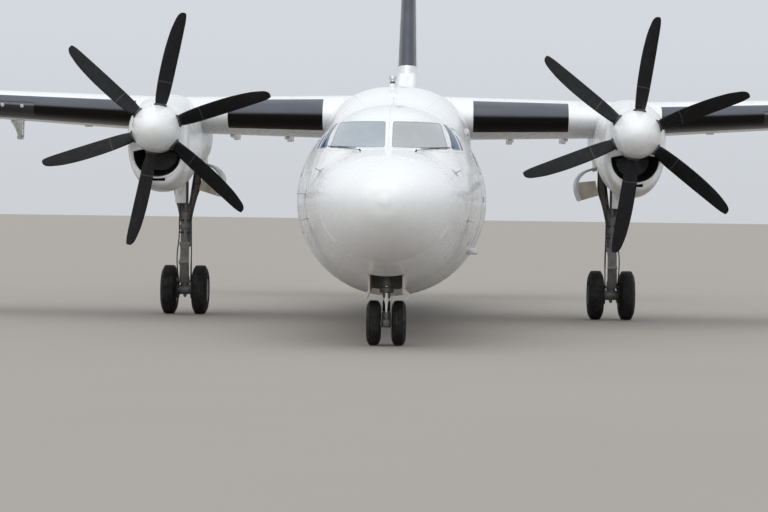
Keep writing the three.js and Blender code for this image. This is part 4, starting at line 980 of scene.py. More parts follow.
PANE_SEAL = enamel("pane_seal", (0.34, 0.36, 0.38), (0.2, 0.2, 0.2), 0.6)
AERIAL_DARK = enamel("aerial_foot", (0.05, 0.05, 0.055), (0.02, 0.02, 0.02), 0.4)
AERIAL_SILVER = enamel("aerial_silver", (0.6, 0.61, 0.62), (0.3, 0.3, 0.3), 0.25, 0.8, 0.2)
ENGINE = enamel("engine_block", (0.3, 0.29, 0.28), (0.06, 0.05, 0.045), 0.5, 0.6)
EXHAUST_METAL = heat_metal()
BLADE_FINISH = blade_finish()
# The glass colours are painted reflections: the windshield's bright grey-blue stands for the sky it mirrors,
# and each tint changes from sill to head and warms to port.
REFLECTION_PAINTED_GLASS = cockpit_glass("cockpit_glass", (0.32, 0.36, 0.40), (0.27, 0.31, 0.34), 0.6)
SIDE_GLASS = cockpit_glass("side_glass", (0.035, 0.09, 0.18), (0.025, 0.065, 0.12), 0.02)
LAMP_COVER = cockpit_glass("lamp_cover", (0.02, 0.022, 0.026), (0.02, 0.022, 0.026), 0.3)
CABIN_GLASS = cabin_glass()
CHROME = chrome()
LAMP = lens("lamp_lens", (0.6, 0.62, 0.64), 0.05)
WING_LAMP = lens("wing_lamp_lens", (0.42, 0.43, 0.44))
RED_LAMP = lens("red_lens", (0.55, 0.02, 0.02), 0.1)
GREEN_LAMP = lens("green_lens", (0.02, 0.4, 0.15), 0.1)


def paint_nodes():
    """Gives each node of the frame its finish."""
    finishes = [
        ("flap", WING_PAINT),
        ("aileron", WING_PAINT),
        ("elevator", WING_PAINT),
        ("rudder", FIN_PAINT),
        ("main_gear_door_inner", INNER_DOOR_PAINT),
        ("main_gear_door_outer", OUTER_DOOR_PAINT),
        ("nose_gear_door", OUTER_DOOR_PAINT),
        ("engine", ENGINE),
    ]
    for name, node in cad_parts.items():
        finish = next((paint for start, paint in finishes if name.startswith(start)), PLAIN_PAINT)
        for part in node.material_slots:
            part.link = "OBJECT"
            part.material = finish


# Fuselage

DOOR = {"front": 3.75, "rear": 4.55, "sill": 1.235, "head": 2.9, "corner": 0.12, "depth": 0.62, "run": 0.008}
DOOR_HINGE = {"x": 1.18, "z": 1.216}
NOSE_BAY = {"half": 0.235, "front": 1.65, "rear": 2.95, "roof": 1.55}
FRONT_PANE = [(0.058, 2.602), (0.77, 2.59), (0.673, 2.94), (0.058, 2.94)]
SIDE_PANE = [(2.56, 2.598), (3.05, 2.598), (3.69, 2.935), (3.43, 2.945)]
REAR_PANE = [(3.17, 2.6), (3.3, 2.6), (3.66, 2.78), (3.62, 2.82)]
KEEL_PAD = {"station": 3.4, "half": 0.06, "drop": 0.022}
CABIN_WINDOWS = {"first": 5.6, "pitch": 0.61, "count": 22, "z": 2.12, "width": 0.26, "height": 0.36}


def door_outline(grow=0.0):
    front, rear, corner = DOOR["front"] - grow, DOOR["rear"] + grow, DOOR["corner"]
    sill, head = DOOR["sill"] - grow, DOOR["head"] + grow
    return [(front, sill), (rear, sill), (rear, head - corner), (rear - corner, head), (front + corner, head),
            (front, head - corner)]


def add_fuselage():
    stations = np.concatenate([
        np.linspace(RADOME_END, 4.4, 60),
        np.linspace(4.5, 15.9, 40),
        np.linspace(16.0, 24.6, 60),
        np.linspace(24.7, LENGTH, 16),
    ])
    skin = loft("fuselage_skin", body_rings(FUSELAGE, stations, 144))
    outline = [(aft(station), z) for station, z in door_outline(DOOR["run"])]
    doorway = prism(outline, "x", DOOR["depth"], CABIN_RADIUS + 0.1)
    bay = box((-NOSE_BAY["half"], aft(NOSE_BAY["front"]), 0.55),
              (NOSE_BAY["half"], aft(NOSE_BAY["rear"]), NOSE_BAY["roof"]), 0)
    skin = cut_from(skin, [(doorway, BAY), (bay, BAY)], [FUSELAGE_PAINT, BAY])
    piece("fuselage_skin", skin, None, slot="white_paint", replaces=["fuselage"], sharp=None)
    for station in (DOOR["front"] + 0.075, DOOR["rear"] - 0.125):
        lug = box((DOOR_HINGE["x"] - 0.12, aft(station), DOOR_HINGE["z"] - 0.034),
                  (DOOR_HINGE["x"] + 0.026, aft(station) + 0.05, DOOR_HINGE["z"] + 0.018))
        piece(f"door_lug_{int(station * 100)}", lug, FRAME, slot="gear_grey")
    keel, half = float(FUSELAGE.at("bottom", KEEL_PAD["station"])), KEEL_PAD["half"]
    y = aft(KEEL_PAD["station"])
    pad = box((-half, y - half, keel - KEEL_PAD["drop"]), (half, y + half, keel + half))
    piece("keel_jack_pad", pad, FRAME, slot="gear_grey")


def add_radome():
    nose = RADOME_END * np.linspace(0, 1, 46) ** 1.7 * 0.9996
    piece("radome_skin", loft("radome_skin", body_rings(FUSELAGE, nose, 144)), RADOME_PAINT,
          slot="white_paint", replaces=["radome"])


def add_fairing():
    stations = np.linspace(FAIRING.rows[0, 0], FAIRING.rows[-1, 0], 90)
    rings = body_rings(FAIRING, stations, 128, power=SQUARENESS["fairing"])
    piece("fairing_skin", loft("fairing_skin", rings), FAIRING_PAINT, slot="white_paint",
          replaces=["wing_fairing"])


def add_panes():
    side = on_side(FUSELAGE, 1)
    panes = [
        ("windshield", rounded(FRONT_PANE, 0.022), on_nose, REFLECTION_PAINTED_GLASS, "windshield"),
        ("side_window", rounded(SIDE_PANE, 0.03), side, SIDE_GLASS, "side_window"),
        ("rear_window", rounded(REAR_PANE, 0.03), side, SIDE_GLASS, None),
    ]
    for name, outline, place, glass, node in panes:
        pair(f"{name}_pane", sheet(name, outline, place, 0.003, 0.02, 12), glass, "cockpit_glass", node)
        pair(f"{name}_seal", band(name, outline, place, 0.011, 0.005, 0.02), PANE_SEAL, "bare_metal")
        border = band(name, widened(dense(outline), 0.012), place, 0.04, 0.004, 0.02)
        pair(f"{name}_frame", border, PLAIN_PAINT, "white_paint")


def add_cabin_windows():
    side = on_side(FUSELAGE, 1)
    half, rise, z = CABIN_WINDOWS["width"] / 2, CABIN_WINDOWS["height"] / 2, CABIN_WINDOWS["z"]
    glass, frames, seals = [], [], []
    for k in range(CABIN_WINDOWS["count"]):
        s = CABIN_WINDOWS["first"] + k * CABIN_WINDOWS["pitch"]
        outline = rounded(oblong((s - half, z - rise), (s + half, z + rise)), 0.11, 8)
        glass.append(sheet("glass", outline, side, FINE, 0.03, 6))
        seals.append(band("seal", outline, side, 0.01, 0.002, 0.03))
        frames.append(band("frame", widened(dense(outline), 0.01), side, 0.03, 0.003, 0.03))
    for name, meshes, material, slot in (
        ("cabin_windows", glass, CABIN_GLASS, "cockpit_glass"),
        ("cabin_window_seals", seals, SEAL, "bare_metal"),
        ("cabin_window_frames", frames, PLAIN_PAINT, "white_paint"),
    ):
        pair(name, join_meshes(name, meshes), material, slot)


def hatch(name, corners, radius, side, window=False):
    """A door drawn by its seam, with a handle, and a small window where it has one."""
    place = on_side(FUSELAGE, 1)
    outline = rounded(corners, radius, 6)
    seam = band("seam", outline, place, 0.012, 0.0012, 0.03)
    piece(f"{name}_seam", sided(seam, side), SEAL, slot="bare_metal")
    (s0, z0), (s1, z1) = corners[0], corners[2]
    level = z0 + 0.42 * (z1 - z0)
    handle = rounded(oblong((s1 - 0.26, level), (s1 - 0.08, level + 0.07)), 0.02)
    piece(f"{name}_handle", sided(sheet("handle", handle, place, 0.004), side), FRAME, slot="gear_grey")
    if window:
        middle, z = (s0 + s1) / 2, z0 + 0.72 * (z1 - z0)
        pane = rounded(oblong((middle - 0.1, z - 0.13), (middle + 0.1, z + 0.13)), 0.08, 6)
        piece(f"{name}_window", sided(sheet("window", pane, place, 0.003), side), CABIN_GLASS,
              slot="cockpit_glass")
        piece(f"{name}_window_frame", sided(band("frame", pane, place, 0.02, 0.005), side), FRAME,
              slot="gear_grey")


def add_hatches():
    front, rear = oblong((3.75, 1.45), (4.36, 2.72)), oblong((18.6, 1.45), (19.21, 2.72))
    hatch("service_door", front, 0.1, "starboard", True)
    hatch("rear_door_port", rear, 0.1, "port", True)
    hatch("rear_door_starboard", rear, 0.1, "starboard", True)
    hatch("hold_door", oblong((5.35, 0.85), (6.5, 1.55)), 0.06, "starboard")
    place = on_side(FUSELAGE, 1)
    skin = sheet("door_skin", rounded(door_outline(), 0.03), place, 0.001, 0.03, 12, 0.02)
    piece("passenger_door_skin", skin, FUSELAGE_PAINT, "passenger_door", "white_paint")
    pane = rounded(oblong((4.05, 2.3), (4.25, 2.56)), 0.08, 6)
    grip = rounded(oblong((3.86, 1.9), (4.06, 1.98)), 0.02)
    for name, mesh, material, slot in (
        ("window", sheet("window", pane, place, 0.004), CABIN_GLASS, "cockpit_glass"),
        ("window_frame", band("frame", pane, place, 0.02, 0.006), FRAME, "gear_grey"),
        ("handle", sheet("handle", grip, place, 0.006), FRAME, "gear_grey"),
    ):
        piece(f"passenger_door_{name}", mesh, material, "passenger_door", slot)
    rim = band("door_rim", rounded(door_outline(DOOR["run"]), 0.03), place, 0.022, 0.003)
    piece("passenger_door_rim", rim, FRAME, slot="gear_grey")


# Wing and tail

FLAP = {"hinge": 0.72, "bracket": 0.12, "eye": 0.055, "arm": (0.041, 0.01)}
AILERON_HINGE = 0.74
BRACKETS = {1.85: 0.06, 2.75: 0.06, 6.4: 0.29, 8.9: 0.29}  # drop of the hinge under the flap's nose, by place
WING_SPANS = [(0, 1.48, None), (1.48, 3.1, FLAP["hinge"]), (3.1, 4.27, None), (4.27, 9.5, FLAP["hinge"]),
              (9.5, 9.56, None), (9.56, 13.95, AILERON_HINGE), (13.95, HALF_SPAN - TIP_CAP, None)]
WING_BOOTS = [((1.21, 2.74), 0.09, 0.085), ((4.24, 9.2), 0.055, 0.155), ((9.24, 11.7), 0.055, 0.15),
              ((11.74, 14.15), 0.06, 0.14)]
WING_MOVING = [
    ("flap_inboard", 1.48, 3.1, FLAP["hinge"], 0.025, (1.85, 2.75)),
    ("flap_outboard", 4.27, 9.5, FLAP["hinge"], 0.035, (6.4, 8.9)),
    ("aileron", 9.56, 13.95, AILERON_HINGE, 0.018, ()),
]
TAIL_BOOTS = [(0.95, 2.8), (2.84, 4.7)]
FIN_BOOTS = [(4.795, 6.4), (6.42, 8.05)]
WING_PAD = (5.1, 0.3)  # place along the span and share of the chord
LANDING_LIGHT = (5.89, 6.62)
LANDING_LAMPS = (6.08, 6.4)
# The tail's moving surfaces: from, to, the hinge's share of the chord, and end gap
ELEVATOR = (0.82, 4.7, 0.7, 0.036)
RUDDER = (3.54, 8.08, 0.7, 0.03)
FIN_FOOT = 2.97
WING_WICKS = (10.2, 11.0, 11.8, 12.6, 13.4, 14.0)
TAIL_WICKS = (1.6, 2.6, 3.6, 4.5)
VORTEX_TABS = {"first": 9.8, "pitch": 0.34, "count": 12, "share": 0.62}


def add_wing():
    cap = HALF_SPAN - TIP_CAP + TIP_CAP * np.sin(np.linspace(0, math.pi / 2, 12))
    tip = loft("tip", np.array([whole_section(WING, x) for x in cap]))
    shells = [*surface_shells(WING, WING_SPANS), tip]
    half = join_meshes("wing_half", shells)
    whole = join_meshes("wing_skin", [half, mirrored(half)])
    piece("wing_skin", whole, WING_PAINT, slot="white_paint", replaces=["wing"])
    for x, drop in BRACKETS.items():
        pair(f"flap_bracket_{int(x * 100)}", flap_fairing(x, drop), PLAIN_PAINT, "white_paint")
    for name, start, end, hinge, gap, brackets in WING_MOVING:
        meshes = moving_shells(WING, start, end, hinge, gap) + [arm for x in brackets for arm in flap_arms(x)]
        pair(f"{name}_skin", join_meshes(name, meshes), WING_PAINT, "white_paint", name, name)
    place = WING.skin(*WING_PAD, -1)
    pad = box(place - np.array([0.06, 0.06, 0.022]), place + np.array([0.06, 0.06, 0.05]))
    pair("wing_jack_pad", pad, PLAIN_PAINT, "gear_grey")


def flap_arms(x):
    """The flap's two slim arms beside a bracket, and their pin."""
    centre = WING.hinge(x, FLAP["hinge"])
    deep = float(WING.depth(x, FLAP["hinge"]))
    y, z, r = centre[1], centre[2] - deep - BRACKETS[x], FLAP["eye"]
    top, under = centre[2] - 0.4 * deep, centre[2] - deep - 0.05
    eye = [(y + r * math.cos(a), z + r * math.sin(a)) for a in np.linspace(-math.pi, 0, 14)]
    outline = [(y + 0.006, top), (y + 0.006, under), *eye, (y + 2.2 * r, top)]
    near, thick = FLAP["arm"]
    pin = tube([(x - near - thick, y, z), (x + near + thick, y, z)], 0.018, 20)
    return [pin] + [prism(outline, "x", x + out, x + out + thick) for out in (near, -near - thick)]


def flap_fairing(x, drop):
    """The fixed fin under the wing that carries the flap's hinge: broad at the skin, thin at its foot."""
    centre = WING.hinge(x, FLAP["hinge"])
    deep = float(WING.depth(x, FLAP["hinge"]))
    eye_y, eye_z = centre[1], centre[2] - deep - drop
    cove, under = centre[1] - deep * 1.03 - 0.014, centre[2] - deep - 0.03
    front = WING.skin(x, 0.37, -1)
    foot = eye_z - FLAP["eye"]
    rings = []
    for t in np.linspace(0, 1, 22):
        z = mix(front[2] + 0.04, foot, t)
        below = max(front[2] - 0.03 - z, 0) / max(front[2] - 0.03 - foot, 0.01)
        lead = mix(front[1], eye_y - FLAP["eye"] * 0.9, below ** 0.7)
        reach = math.sqrt(max(FLAP["eye"] ** 2 - (z - eye_z) ** 2, 0)) if z < eye_z else FLAP["eye"]
        tail = cove if z > under else eye_y + reach * 0.9
        half = FLAP["bracket"] / 2 * mix(1.0, 0.5, min(below * 1.6, 1) ** 0.6)
        angle = circle(40)
        c, s = np.cos(angle), np.sin(angle)
        across = signed_power(s, 0.6) * np.where(c < 0, 1 - 0.55 * c**4, 1.0)
        y = (lead + tail) / 2 + (tail - lead) / 2 * signed_power(c, 0.8)
        rings.append(np.stack([x + half * across, y, z + 0 * angle], -1))
    return loft("bracket", np.array(rings))


def add_tailplane():
    start, end, hinge, gap = ELEVATOR
    spans = [(0, start, None), (start, end, hinge), (end, TAILPLANE_HALF, None)]
    half = join_meshes("tailplane_half", surface_shells(TAILPLANE, spans))
    piece("tailplane_skin", join_meshes("tailplane_skin", [half, mirrored(half)]), WING_PAINT,
          slot="white_paint", replaces=["tailplane"])
    meshes = moving_shells(TAILPLANE, start, end, hinge, gap)
    pair("elevator_skin", join_meshes("elevator", meshes), WING_PAINT, "white_paint", "elevator", "elevator")


def add_fin():
    start, end, hinge, gap = RUDDER
    spans = [(FIN_FOOT, start, None), (start, end, hinge), (end, HEIGHT - FIN_CAP, None)]
    shells = surface_shells(FIN, spans)
    cap = HEIGHT - FIN_CAP + FIN_CAP * np.sin(np.linspace(0, math.pi / 2, 12))
    shells.append(loft("tip", np.array([whole_section(FIN, z) for z in cap])))
    blade = join_meshes("blade", shells)
    blade.transform(STAND_UP)
    stations = np.linspace(DORSAL.rows[0, 0], DORSAL.rows[-1, 0], 80)
    dorsal = loft("dorsal", body_rings(DORSAL, stations, 96, power=SQUARENESS["dorsal"]))
    piece("fin_skin", join_meshes("fin_skin", [blade, dorsal]), FIN_PAINT, slot="white_paint",
          replaces=["fin"])
    rudder = join_meshes("rudder", moving_shells(FIN, start, end, hinge, gap))
    rudder.transform(STAND_UP)
    piece("rudder_skin", rudder, FIN_PAINT, "rudder", "white_paint", ["rudder"])


def add_boots():
    meshes = [boot(WING, *span, above, below) for span, above, below in WING_BOOTS]
    pair("wing_boots", join_meshes("wing_boots", meshes), BOOT, "tyre_rubber")
    meshes = [boot(TAILPLANE, *span, 0.07, 0.07) for span in TAIL_BOOTS]
    pair("tail_boots", join_meshes("tail_boots", meshes), BOOT, "tyre_rubber")
    mesh = join_meshes("fin_boots", [boot(FIN, *span, 0.14, 0.14) for span in FIN_BOOTS])
    mesh.transform(STAND_UP)
    piece("fin_boots", mesh, BOOT, slot="tyre_rubber")


def add_landing_lights():
    """A clear window in the boot with a rim, and two lamps showing through it."""
    cover = boot(WING, *LANDING_LIGHT, 0.006, 0.06, 0.06, 0.0045)
    pair("landing_light_cover", cover, LAMP_COVER, "cockpit_glass")
    pair("landing_light_rim", boot(WING, *LANDING_LIGHT, 0.002, 0.0, 0.06, 0.006), SEAL, "bare_metal")
    lamps = []
    for x in LANDING_LAMPS:
        nose = WING.signed(x, np.array([-0.02]))[0]
        dish = [(0, -0.006), (0.022, -0.004), (0.03, 0.0), (0.034, 0.01), (0.034, 0.04), (0, 0.04)]
        lamps.append(lathe("lamp", dish, "y", (x, nose[1] - 0.006, nose[2]), 40))
    pair("landing_lamps", join_meshes("lamps", lamps), WING_LAMP, "cockpit_glass")


def add_wing_details():
    wicks, guides = [], []
    for surface, places, droop, reach in ((WING, WING_WICKS, -0.004, 0.13), (TAILPLANE, TAIL_WICKS, 0, 0.12)):
        for x in places:
            tail = surface.point(x, 1.0, 0.0)
            ends = [tail - np.array([0, 0.02, 0]), tail + np.array([0, reach, droop])]
            wicks.append(tube(ends, [0.005, 0.002], 6))
    pair("static_wicks", join_meshes("wicks", wicks), DARK, "blade_black")
    for k in range(VORTEX_TABS["count"]):
        x = VORTEX_TABS["first"] + VORTEX_TABS["pitch"] * k
        foot = WING.skin(x, VORTEX_TABS["share"], 1)
        low, high = foot + np.array([-0.0015, -0.03, -0.01]), foot + np.array([0.0015, 0.03, 0.022])
        guides.append(box(low, high, 0))
    pair("vortex_tabs", join_meshes("vortex_tabs", guides), PLAIN_PAINT, "white_paint")
    for which, colour in (("port", RED_LAMP), ("starboard", GREEN_LAMP)):
        mesh = boot(WING, 14.2, 14.31, 0.02, 0.02, 0.05, 0.006)
        piece(f"tip_light_{which}", sided(mesh, which), colour, slot="cockpit_glass")


# Power plants

INTAKE = {"top": 2.645, "drop": 0.385, "half": 0.375}
# The intake's rolled lip, from inside to outside: how far out, and how far aft of station 8
INTAKE_LIP = [(0.004, 0.03), (0.002, 0.012), (0.008, 0.0), (0.018, -0.004), (0.028, 0.002), (0.03, 0.022),
              (0.026, 0.06)]
SLOT = {"half": 0.125, "low": 2.195, "high": 2.262}
WELL = {"inner": 3.3, "outer": 3.9, "front": 11.45, "rear": 12.95, "roof": 2.81}
EXHAUST = Table("station out z radius", [
    (10.3, 0.40, 2.78, 0.115),
    (10.9, 0.56, 2.74, 0.135),
    (11.45, 0.63, 2.70, 0.13),
])


def intake_ring(station, size, grow=0.0, count=40):
    angle = np.linspace(0, math.pi, count)
    c, s = np.cos(angle), np.sin(angle)
    across = signed_power(c, 0.9)
    low = np.stack([
        THRUST["x"] + (INTAKE["half"] * size + grow) * across,
        aft(station) + 0 * c,
        INTAKE["top"] - 0.04 * (1 - size) - (INTAKE["drop"] * size + grow) * s**0.9,
    ], -1)
    share = np.linspace(-1, 1, 18)[1:-1]
    top = np.stack([
        THRUST["x"] + (INTAKE["half"] * size + grow) * share,
        aft(station) + 0 * share,
        INTAKE["top"] - 0.04 * (1 - size) + (0.05 + grow) * (1 - share**2) * size,
    ], -1)
    return np.concatenate([low, top])


def add_nacelle():
    lip = [(8.015, -0.045), (8.02, -0.03), (8.032, -0.016), (8.05, -0.006), (8.08, 0)]
    places = lip + [(s, 0.0) for s in [*np.linspace(8.14, 13.5, 84), *np.linspace(13.55, 13.9, 10)]]
    rings = [body_points(NACELLE, np.full(112, s), circle(112), grow, SQUARENESS["nacelle"], THRUST["x"])
             for s, grow in places]
    skin = loft("nacelle_skin", np.array(rings))
    duct = loft("duct", np.array([intake_ring(s, size) for s, size in
                                  ((7.9, 1.0), (8.03, 0.985), (8.2, 0.93), (8.45, 0.8), (8.715, 0.62))]))
    slot = box((THRUST["x"] - SLOT["half"], aft(7.9), SLOT["low"]),
               (THRUST["x"] + SLOT["half"], aft(8.23), SLOT["high"]), 0)
    well = box((WELL["inner"], aft(WELL["front"]), 1.9), (WELL["outer"], aft(WELL["rear"]), WELL["roof"]), 0)
    skin = cut_from(skin, [(duct, DUCT), (slot, DUCT), (well, BAY)], [NACELLE_PAINT, DUCT, BAY])
    for which in SIDES:
        made = skin if which == "port" else mirrored_cut(skin)
        piece(f"nacelle_skin_{which}", made, None, "airframe", "white_paint", [f"nacelle_{which}"], None)
    lips = np.array([intake_ring(8.0, 1.0, grow) + np.array([0, shift, 0]) for grow, shift in INTAKE_LIP])
    pair("intake_lip", outward(loft("lip", lips, caps=False)), PLAIN_PAINT, "white_paint")
    back = intake_ring(8.6, 0.68)
    pair("intake_back", loft("screen", np.array([back, back + np.array([0, 0.02, 0])])), DARK, "engine_metal")


def mirrored_cut(mesh):
    """A mirror image that keeps its own smooth normals."""
    normals = [tuple(n.vector) for n in mesh.corner_normals]
    copy = mesh.copy()
    copy.transform(Matrix.Scale(-1, 4, (1, 0, 0)))
    places = {}
    for polygon in mesh.polygons:
        for corner in polygon.loop_indices:
            places[(polygon.index, mesh.loops[corner].vertex_index)] = normals[corner]
    copy.flip_normals()
    turned = []
    for polygon in copy.polygons:
        for corner in polygon.loop_indices:
            x, y, z = places[(polygon.index, copy.loops[corner].vertex_index)]
            turned.append((-x, y, z))
    copy.normals_split_custom_set(turned)
    return copy


def add_exhaust():
    stations = np.linspace(EXHAUST.rows[0, 0], EXHAUST.rows[-1, 0], 26)

    def ring(s, radius):
        angle = circle(48)
        x = THRUST["x"] + EXHAUST.at("out", s) + radius * np.cos(angle)
        return np.stack([x, aft(s) + 0 * angle, EXHAUST.at("z", s) + 1.15 * radius * np.sin(angle)], -1)

    outside = [ring(s, float(EXHAUST.at("radius", s))) for s in stations]
    inside = [ring(s, float(EXHAUST.at("radius", s)) - 0.012) for s in stations[::-1] if s > 10.7]
    pair("exhaust_pipe", loft("exhaust", np.array(outside + inside)), EXHAUST_METAL, "bare_metal", "exhaust")
    shroud = []
    for s, grow in ((10.42, 0.02), (10.5, 0.045), (10.7, 0.05), (10.95, 0.045), (10.98, 0.03)):
        shroud.append(ring(s, float(EXHAUST.at("radius", s)) + grow))
    pair("exhaust_shroud", loft("shroud", np.array(shroud)), NACELLE_PAINT, "white_paint")


SPINNER = Table("along radius", [
    (-0.6, 0.0), (-0.597, 0.03), (-0.585, 0.075), (-0.565, 0.12), (-0.52, 0.176), (-0.455, 0.23),
    (-0.37, 0.28), (-0.275, 0.32), (-0.17, 0.348), (-0.06, 0.365), (0.07, 0.37), (0.195, 0.37),
    (0.203, 0.366), (0.205, 0.35),
])
BLADE = Table("radius chord thickness pitch sweep", [
    (0.12, 0.15, 0.15, 45, 0), (0.365, 0.15, 0.15, 45, 0), (0.42, 0.22, 0.10, 43, 0.003),
    (0.56, 0.255, 0.058, 39, 0.006), (0.74, 0.262, 0.04, 34, 0.008), (1.1, 0.252, 0.027, 27, 0.018),
    (1.5, 0.212, 0.017, 20, 0.042), (1.7, 0.165, 0.011, 17, 0.066), (1.76, 0.14, 0.009, 16, 0.074),
    (1.8, 0.108, 0.007, 15.5, 0.083), (1.822, 0.075, 0.005, 15.1, 0.091), (1.83, 0.035, 0.004, 15, 0.095),
])
CUFF = [(0.078, 0.33), (0.094, 0.335), (0.1, 0.36), (0.094, 0.385), (0.08, 0.392), (0.078, 0.33)]
HUB = [(0, -0.15), (0.18, -0.15), (0.19, -0.13), (0.19, 0.13), (0.18, 0.15), (0, 0.15)]
TURNS = {"port": 7, "starboard": 10}


def blade_mesh():
    rings = []
    places = [*np.linspace(0.12, 0.35, 5), *np.linspace(0.365, 0.5, 12), *np.linspace(0.53, 1.7, 32),
              *(PROP["radius"] - 0.12 * np.linspace(1, 0, 14) ** 1.8)]
    for radius in places:
        chord, thick, pitch, sweep = (float(BLADE.at(column, radius)) for column in BLADE.columns[1:])
        angle = circle(40)
        round_share = np.clip((radius - 0.365) / 0.1, 0, 1)
        lens_shape = 1 - 0.35 * round_share * np.cos(angle)
        u = chord / 2 * np.cos(angle) + sweep
        v = thick / 2 * np.sin(angle) * np.where(np.cos(angle) > 0, lens_shape, 1)
        p = math.radians(pitch)
        rings.append(np.stack([u * math.cos(p) - v * math.sin(p), u * math.sin(p) + v * math.cos(p),
                               radius + 0 * u], -1))
    return loft("blade", np.array(rings))


def add_propellers():
    blade = blade_mesh()
    cuff = lathe("cuff", CUFF, "y", (0, 0, 0), 48)
    cuff.transform(Matrix.Rotation(math.radians(90), 4, "X"))
    drum = lathe("drum", HUB, "y", (0, 0, 0), 64)
    tip, back = SPINNER.rows[0, 0], SPINNER.rows[-1, 0]
    steps = tip + (back - tip) * np.linspace(0, 1, 60) ** 1.6
    profile = [(0.0, tip), *((float(SPINNER.at("radius", a)), float(a)) for a in steps[1:]), (0.0, back)]
    spinner = lathe("spinner", profile, "y", (0, 0, 0), 120)
    for which, sign in SIDES.items():
        hub = Vector((sign * THRUST["x"], aft(PROP["station"]), THRUST["z"]))
        turned, cuffs = [drum.copy()], []
        for k in range(PROP["blades"]):
            way = Matrix.Rotation(math.radians(TURNS[which] + 60 * k), 4, "Y")
            for source, made in ((blade, turned), (cuff, cuffs)):
                copy = source.copy()
                copy.transform(way)
                made.append(copy)
        blades, cuffs = join_meshes("blades", turned), join_meshes("cuffs", cuffs)
        for name, mesh, material, slot, nodes in (
            ("propeller_blades", blades, BLADE_FINISH, "blade_black", [f"propeller_{which}"]),
            ("blade_cuffs", cuffs, DARK, "blade_black", []),
            ("spinner_shell", spinner.copy(), SPINNER_PAINT, "white_paint", [f"spinner_{which}"]),
        ):
            piece(f"{name}_{which}", mesh, material, f"propeller_{which}", slot, nodes, place=hub)


# Landing gear

MAIN_TYRE = {"radius": 0.41145, "bore": 0.205, "half": 0.136, "spacing": 0.52, "grooves": 4}
NOSE_TYRE = {"radius": 0.29631, "bore": 0.15, "half": 0.095, "spacing": 0.33, "grooves": 3}


def tyre_mesh(tyre, centre):
    radius, bore, half = tyre["radius"], tyre["bore"], tyre["half"]
    depth = radius - bore
    side = [(bore - 0.004, -0.76 * half), (bore + 0.02, -0.83 * half), (bore + 0.035, -0.85 * half)]
    for k in range(13):
        t = k / 12
        angle = math.pi * (0.02 + 0.44 * t)
        flank = -half * (0.99 * math.cos(angle * 0.72) ** 0.55)
        bulge = flank - 0.02 * half * math.sin(math.pi * t)
        side.append((bore + 0.04 + (0.9 * depth - 0.045) * t, max(-half, bulge)))
    side.append((radius - 0.012, -0.64 * half))
    tread = []
    rows = tyre["grooves"]
    wide, deep = 0.0085, 0.009
    for k in range(rows):
        middle = -0.42 * half + 0.84 * half * k / (rows - 1)
        crown = radius - 0.004 * abs(middle / half)
        tread += [(crown, middle - wide / 2 - 0.002), (crown - 0.001, middle - wide / 2),
                  (crown - deep, middle - wide / 2 + 0.001), (crown - deep, middle + wide / 2 - 0.001),
                  (crown - 0.001, middle + wide / 2), (crown, middle + wide / 2 + 0.002)]
    edge = [(radius - 0.003, -0.54 * half)]
    left = side + edge
    profile = left + tread + [(r, -a) for r, a in reversed(left)]
    return lathe("tyre", profile + [profile[0]], "x", centre, 112)


def rim_mesh(tyre, centre, sign, bolts):
    """One wheel of a twin: dished disc, bead flanges, brake drum on its inner side and tie bolts."""
    bore, half = tyre["bore"], tyre["half"]
    out = [
        (0.0, 0.70), (0.10, 0.72), (0.24, 0.72), (0.30, 0.66), (0.34, 0.40), (0.42, 0.33), (0.60, 0.30),
        (0.72, 0.34), (0.80, 0.46), (0.84, 0.70), (0.90, 0.80), (0.97, 0.84), (1.03, 0.86), (1.08, 0.82),
        (1.09, 0.76), (1.03, 0.72), (0.99, 0.55), (0.98, -0.55), (1.03, -0.72), (1.09, -0.76), (1.08, -0.84),
        (1.0, -0.86), (0.88, -0.8), (0.82, -0.5), (0.78, -0.3), (0.5, -0.3), (0.3, -0.35), (0.0, -0.35),
    ]
    parts = [lathe("rim", [(r * bore, sign * a * half) for r, a in out], "x", centre, 96)]
    for k in range(bolts):
        angle = 2 * math.pi * k / bolts
        y, z = 0.66 * bore * math.cos(angle), 0.66 * bore * math.sin(angle)
        at = np.array(centre) + np.array([sign * 0.31 * half, y, z])
        parts.append(tube([at, at + np.array([sign * 0.016, 0, 0])], 0.008, 6))
    return join_meshes("wheel", parts)


def add_twin(name, tyre, x, station, body, bolts):
    centre = (x, aft(station), tyre["radius"])
    wheels = []
    for which, sign in (("left", 1), ("right", -1)):
        at = (x + sign * tyre["spacing"] / 2, centre[1], centre[2])
        mesh = tyre_mesh(tyre, at)
        piece(f"{name}_rubber_{which}", mesh, TYRE, body, "tyre_rubber", [f"{name}_tyre_{which}"], 28)
        wheels.append(rim_mesh(tyre, at, sign, bolts))
    axle = 0.25 * tyre["bore"]
    wheels.append(crossbar(*centre, tyre["spacing"] / 2, axle))
    piece(f"{name}_wheels", join_meshes("wheels", wheels), RIM, body, "wheel_rim", [f"{name}_rims"])


YOKE = {"foot": 1.5, "elbow": 2.15, "top": 2.72, "inner": (0.195, 0.205), "outer": (0.16, 0.19)}
BRACE = {"station": 12.6, "z": 2.69, "out": 0.12, "post": 0.025}
LEG_HOSE = [(0.085, -0.06, 1.95), (0.1, -0.09, 1.62), (0.104, -0.08, 1.3), (0.12, -0.2, 1.02),
            (0.115, -0.2, 0.78), (0.1, -0.04, 0.5)]
LEG_WIRING = [(0.08, 0.05, 1.7), (0.09, 0.1, 1.1), (0.1, 0.06, 0.52)]
# The pins of the torque links: how far ahead of the strut, height, half length and radius
LINK_PINS = [(0.09, 1.19, 0.096, 0.026), (0.33, 0.88, 0.08, 0.028), (0.07, 0.55, 0.096, 0.026)]


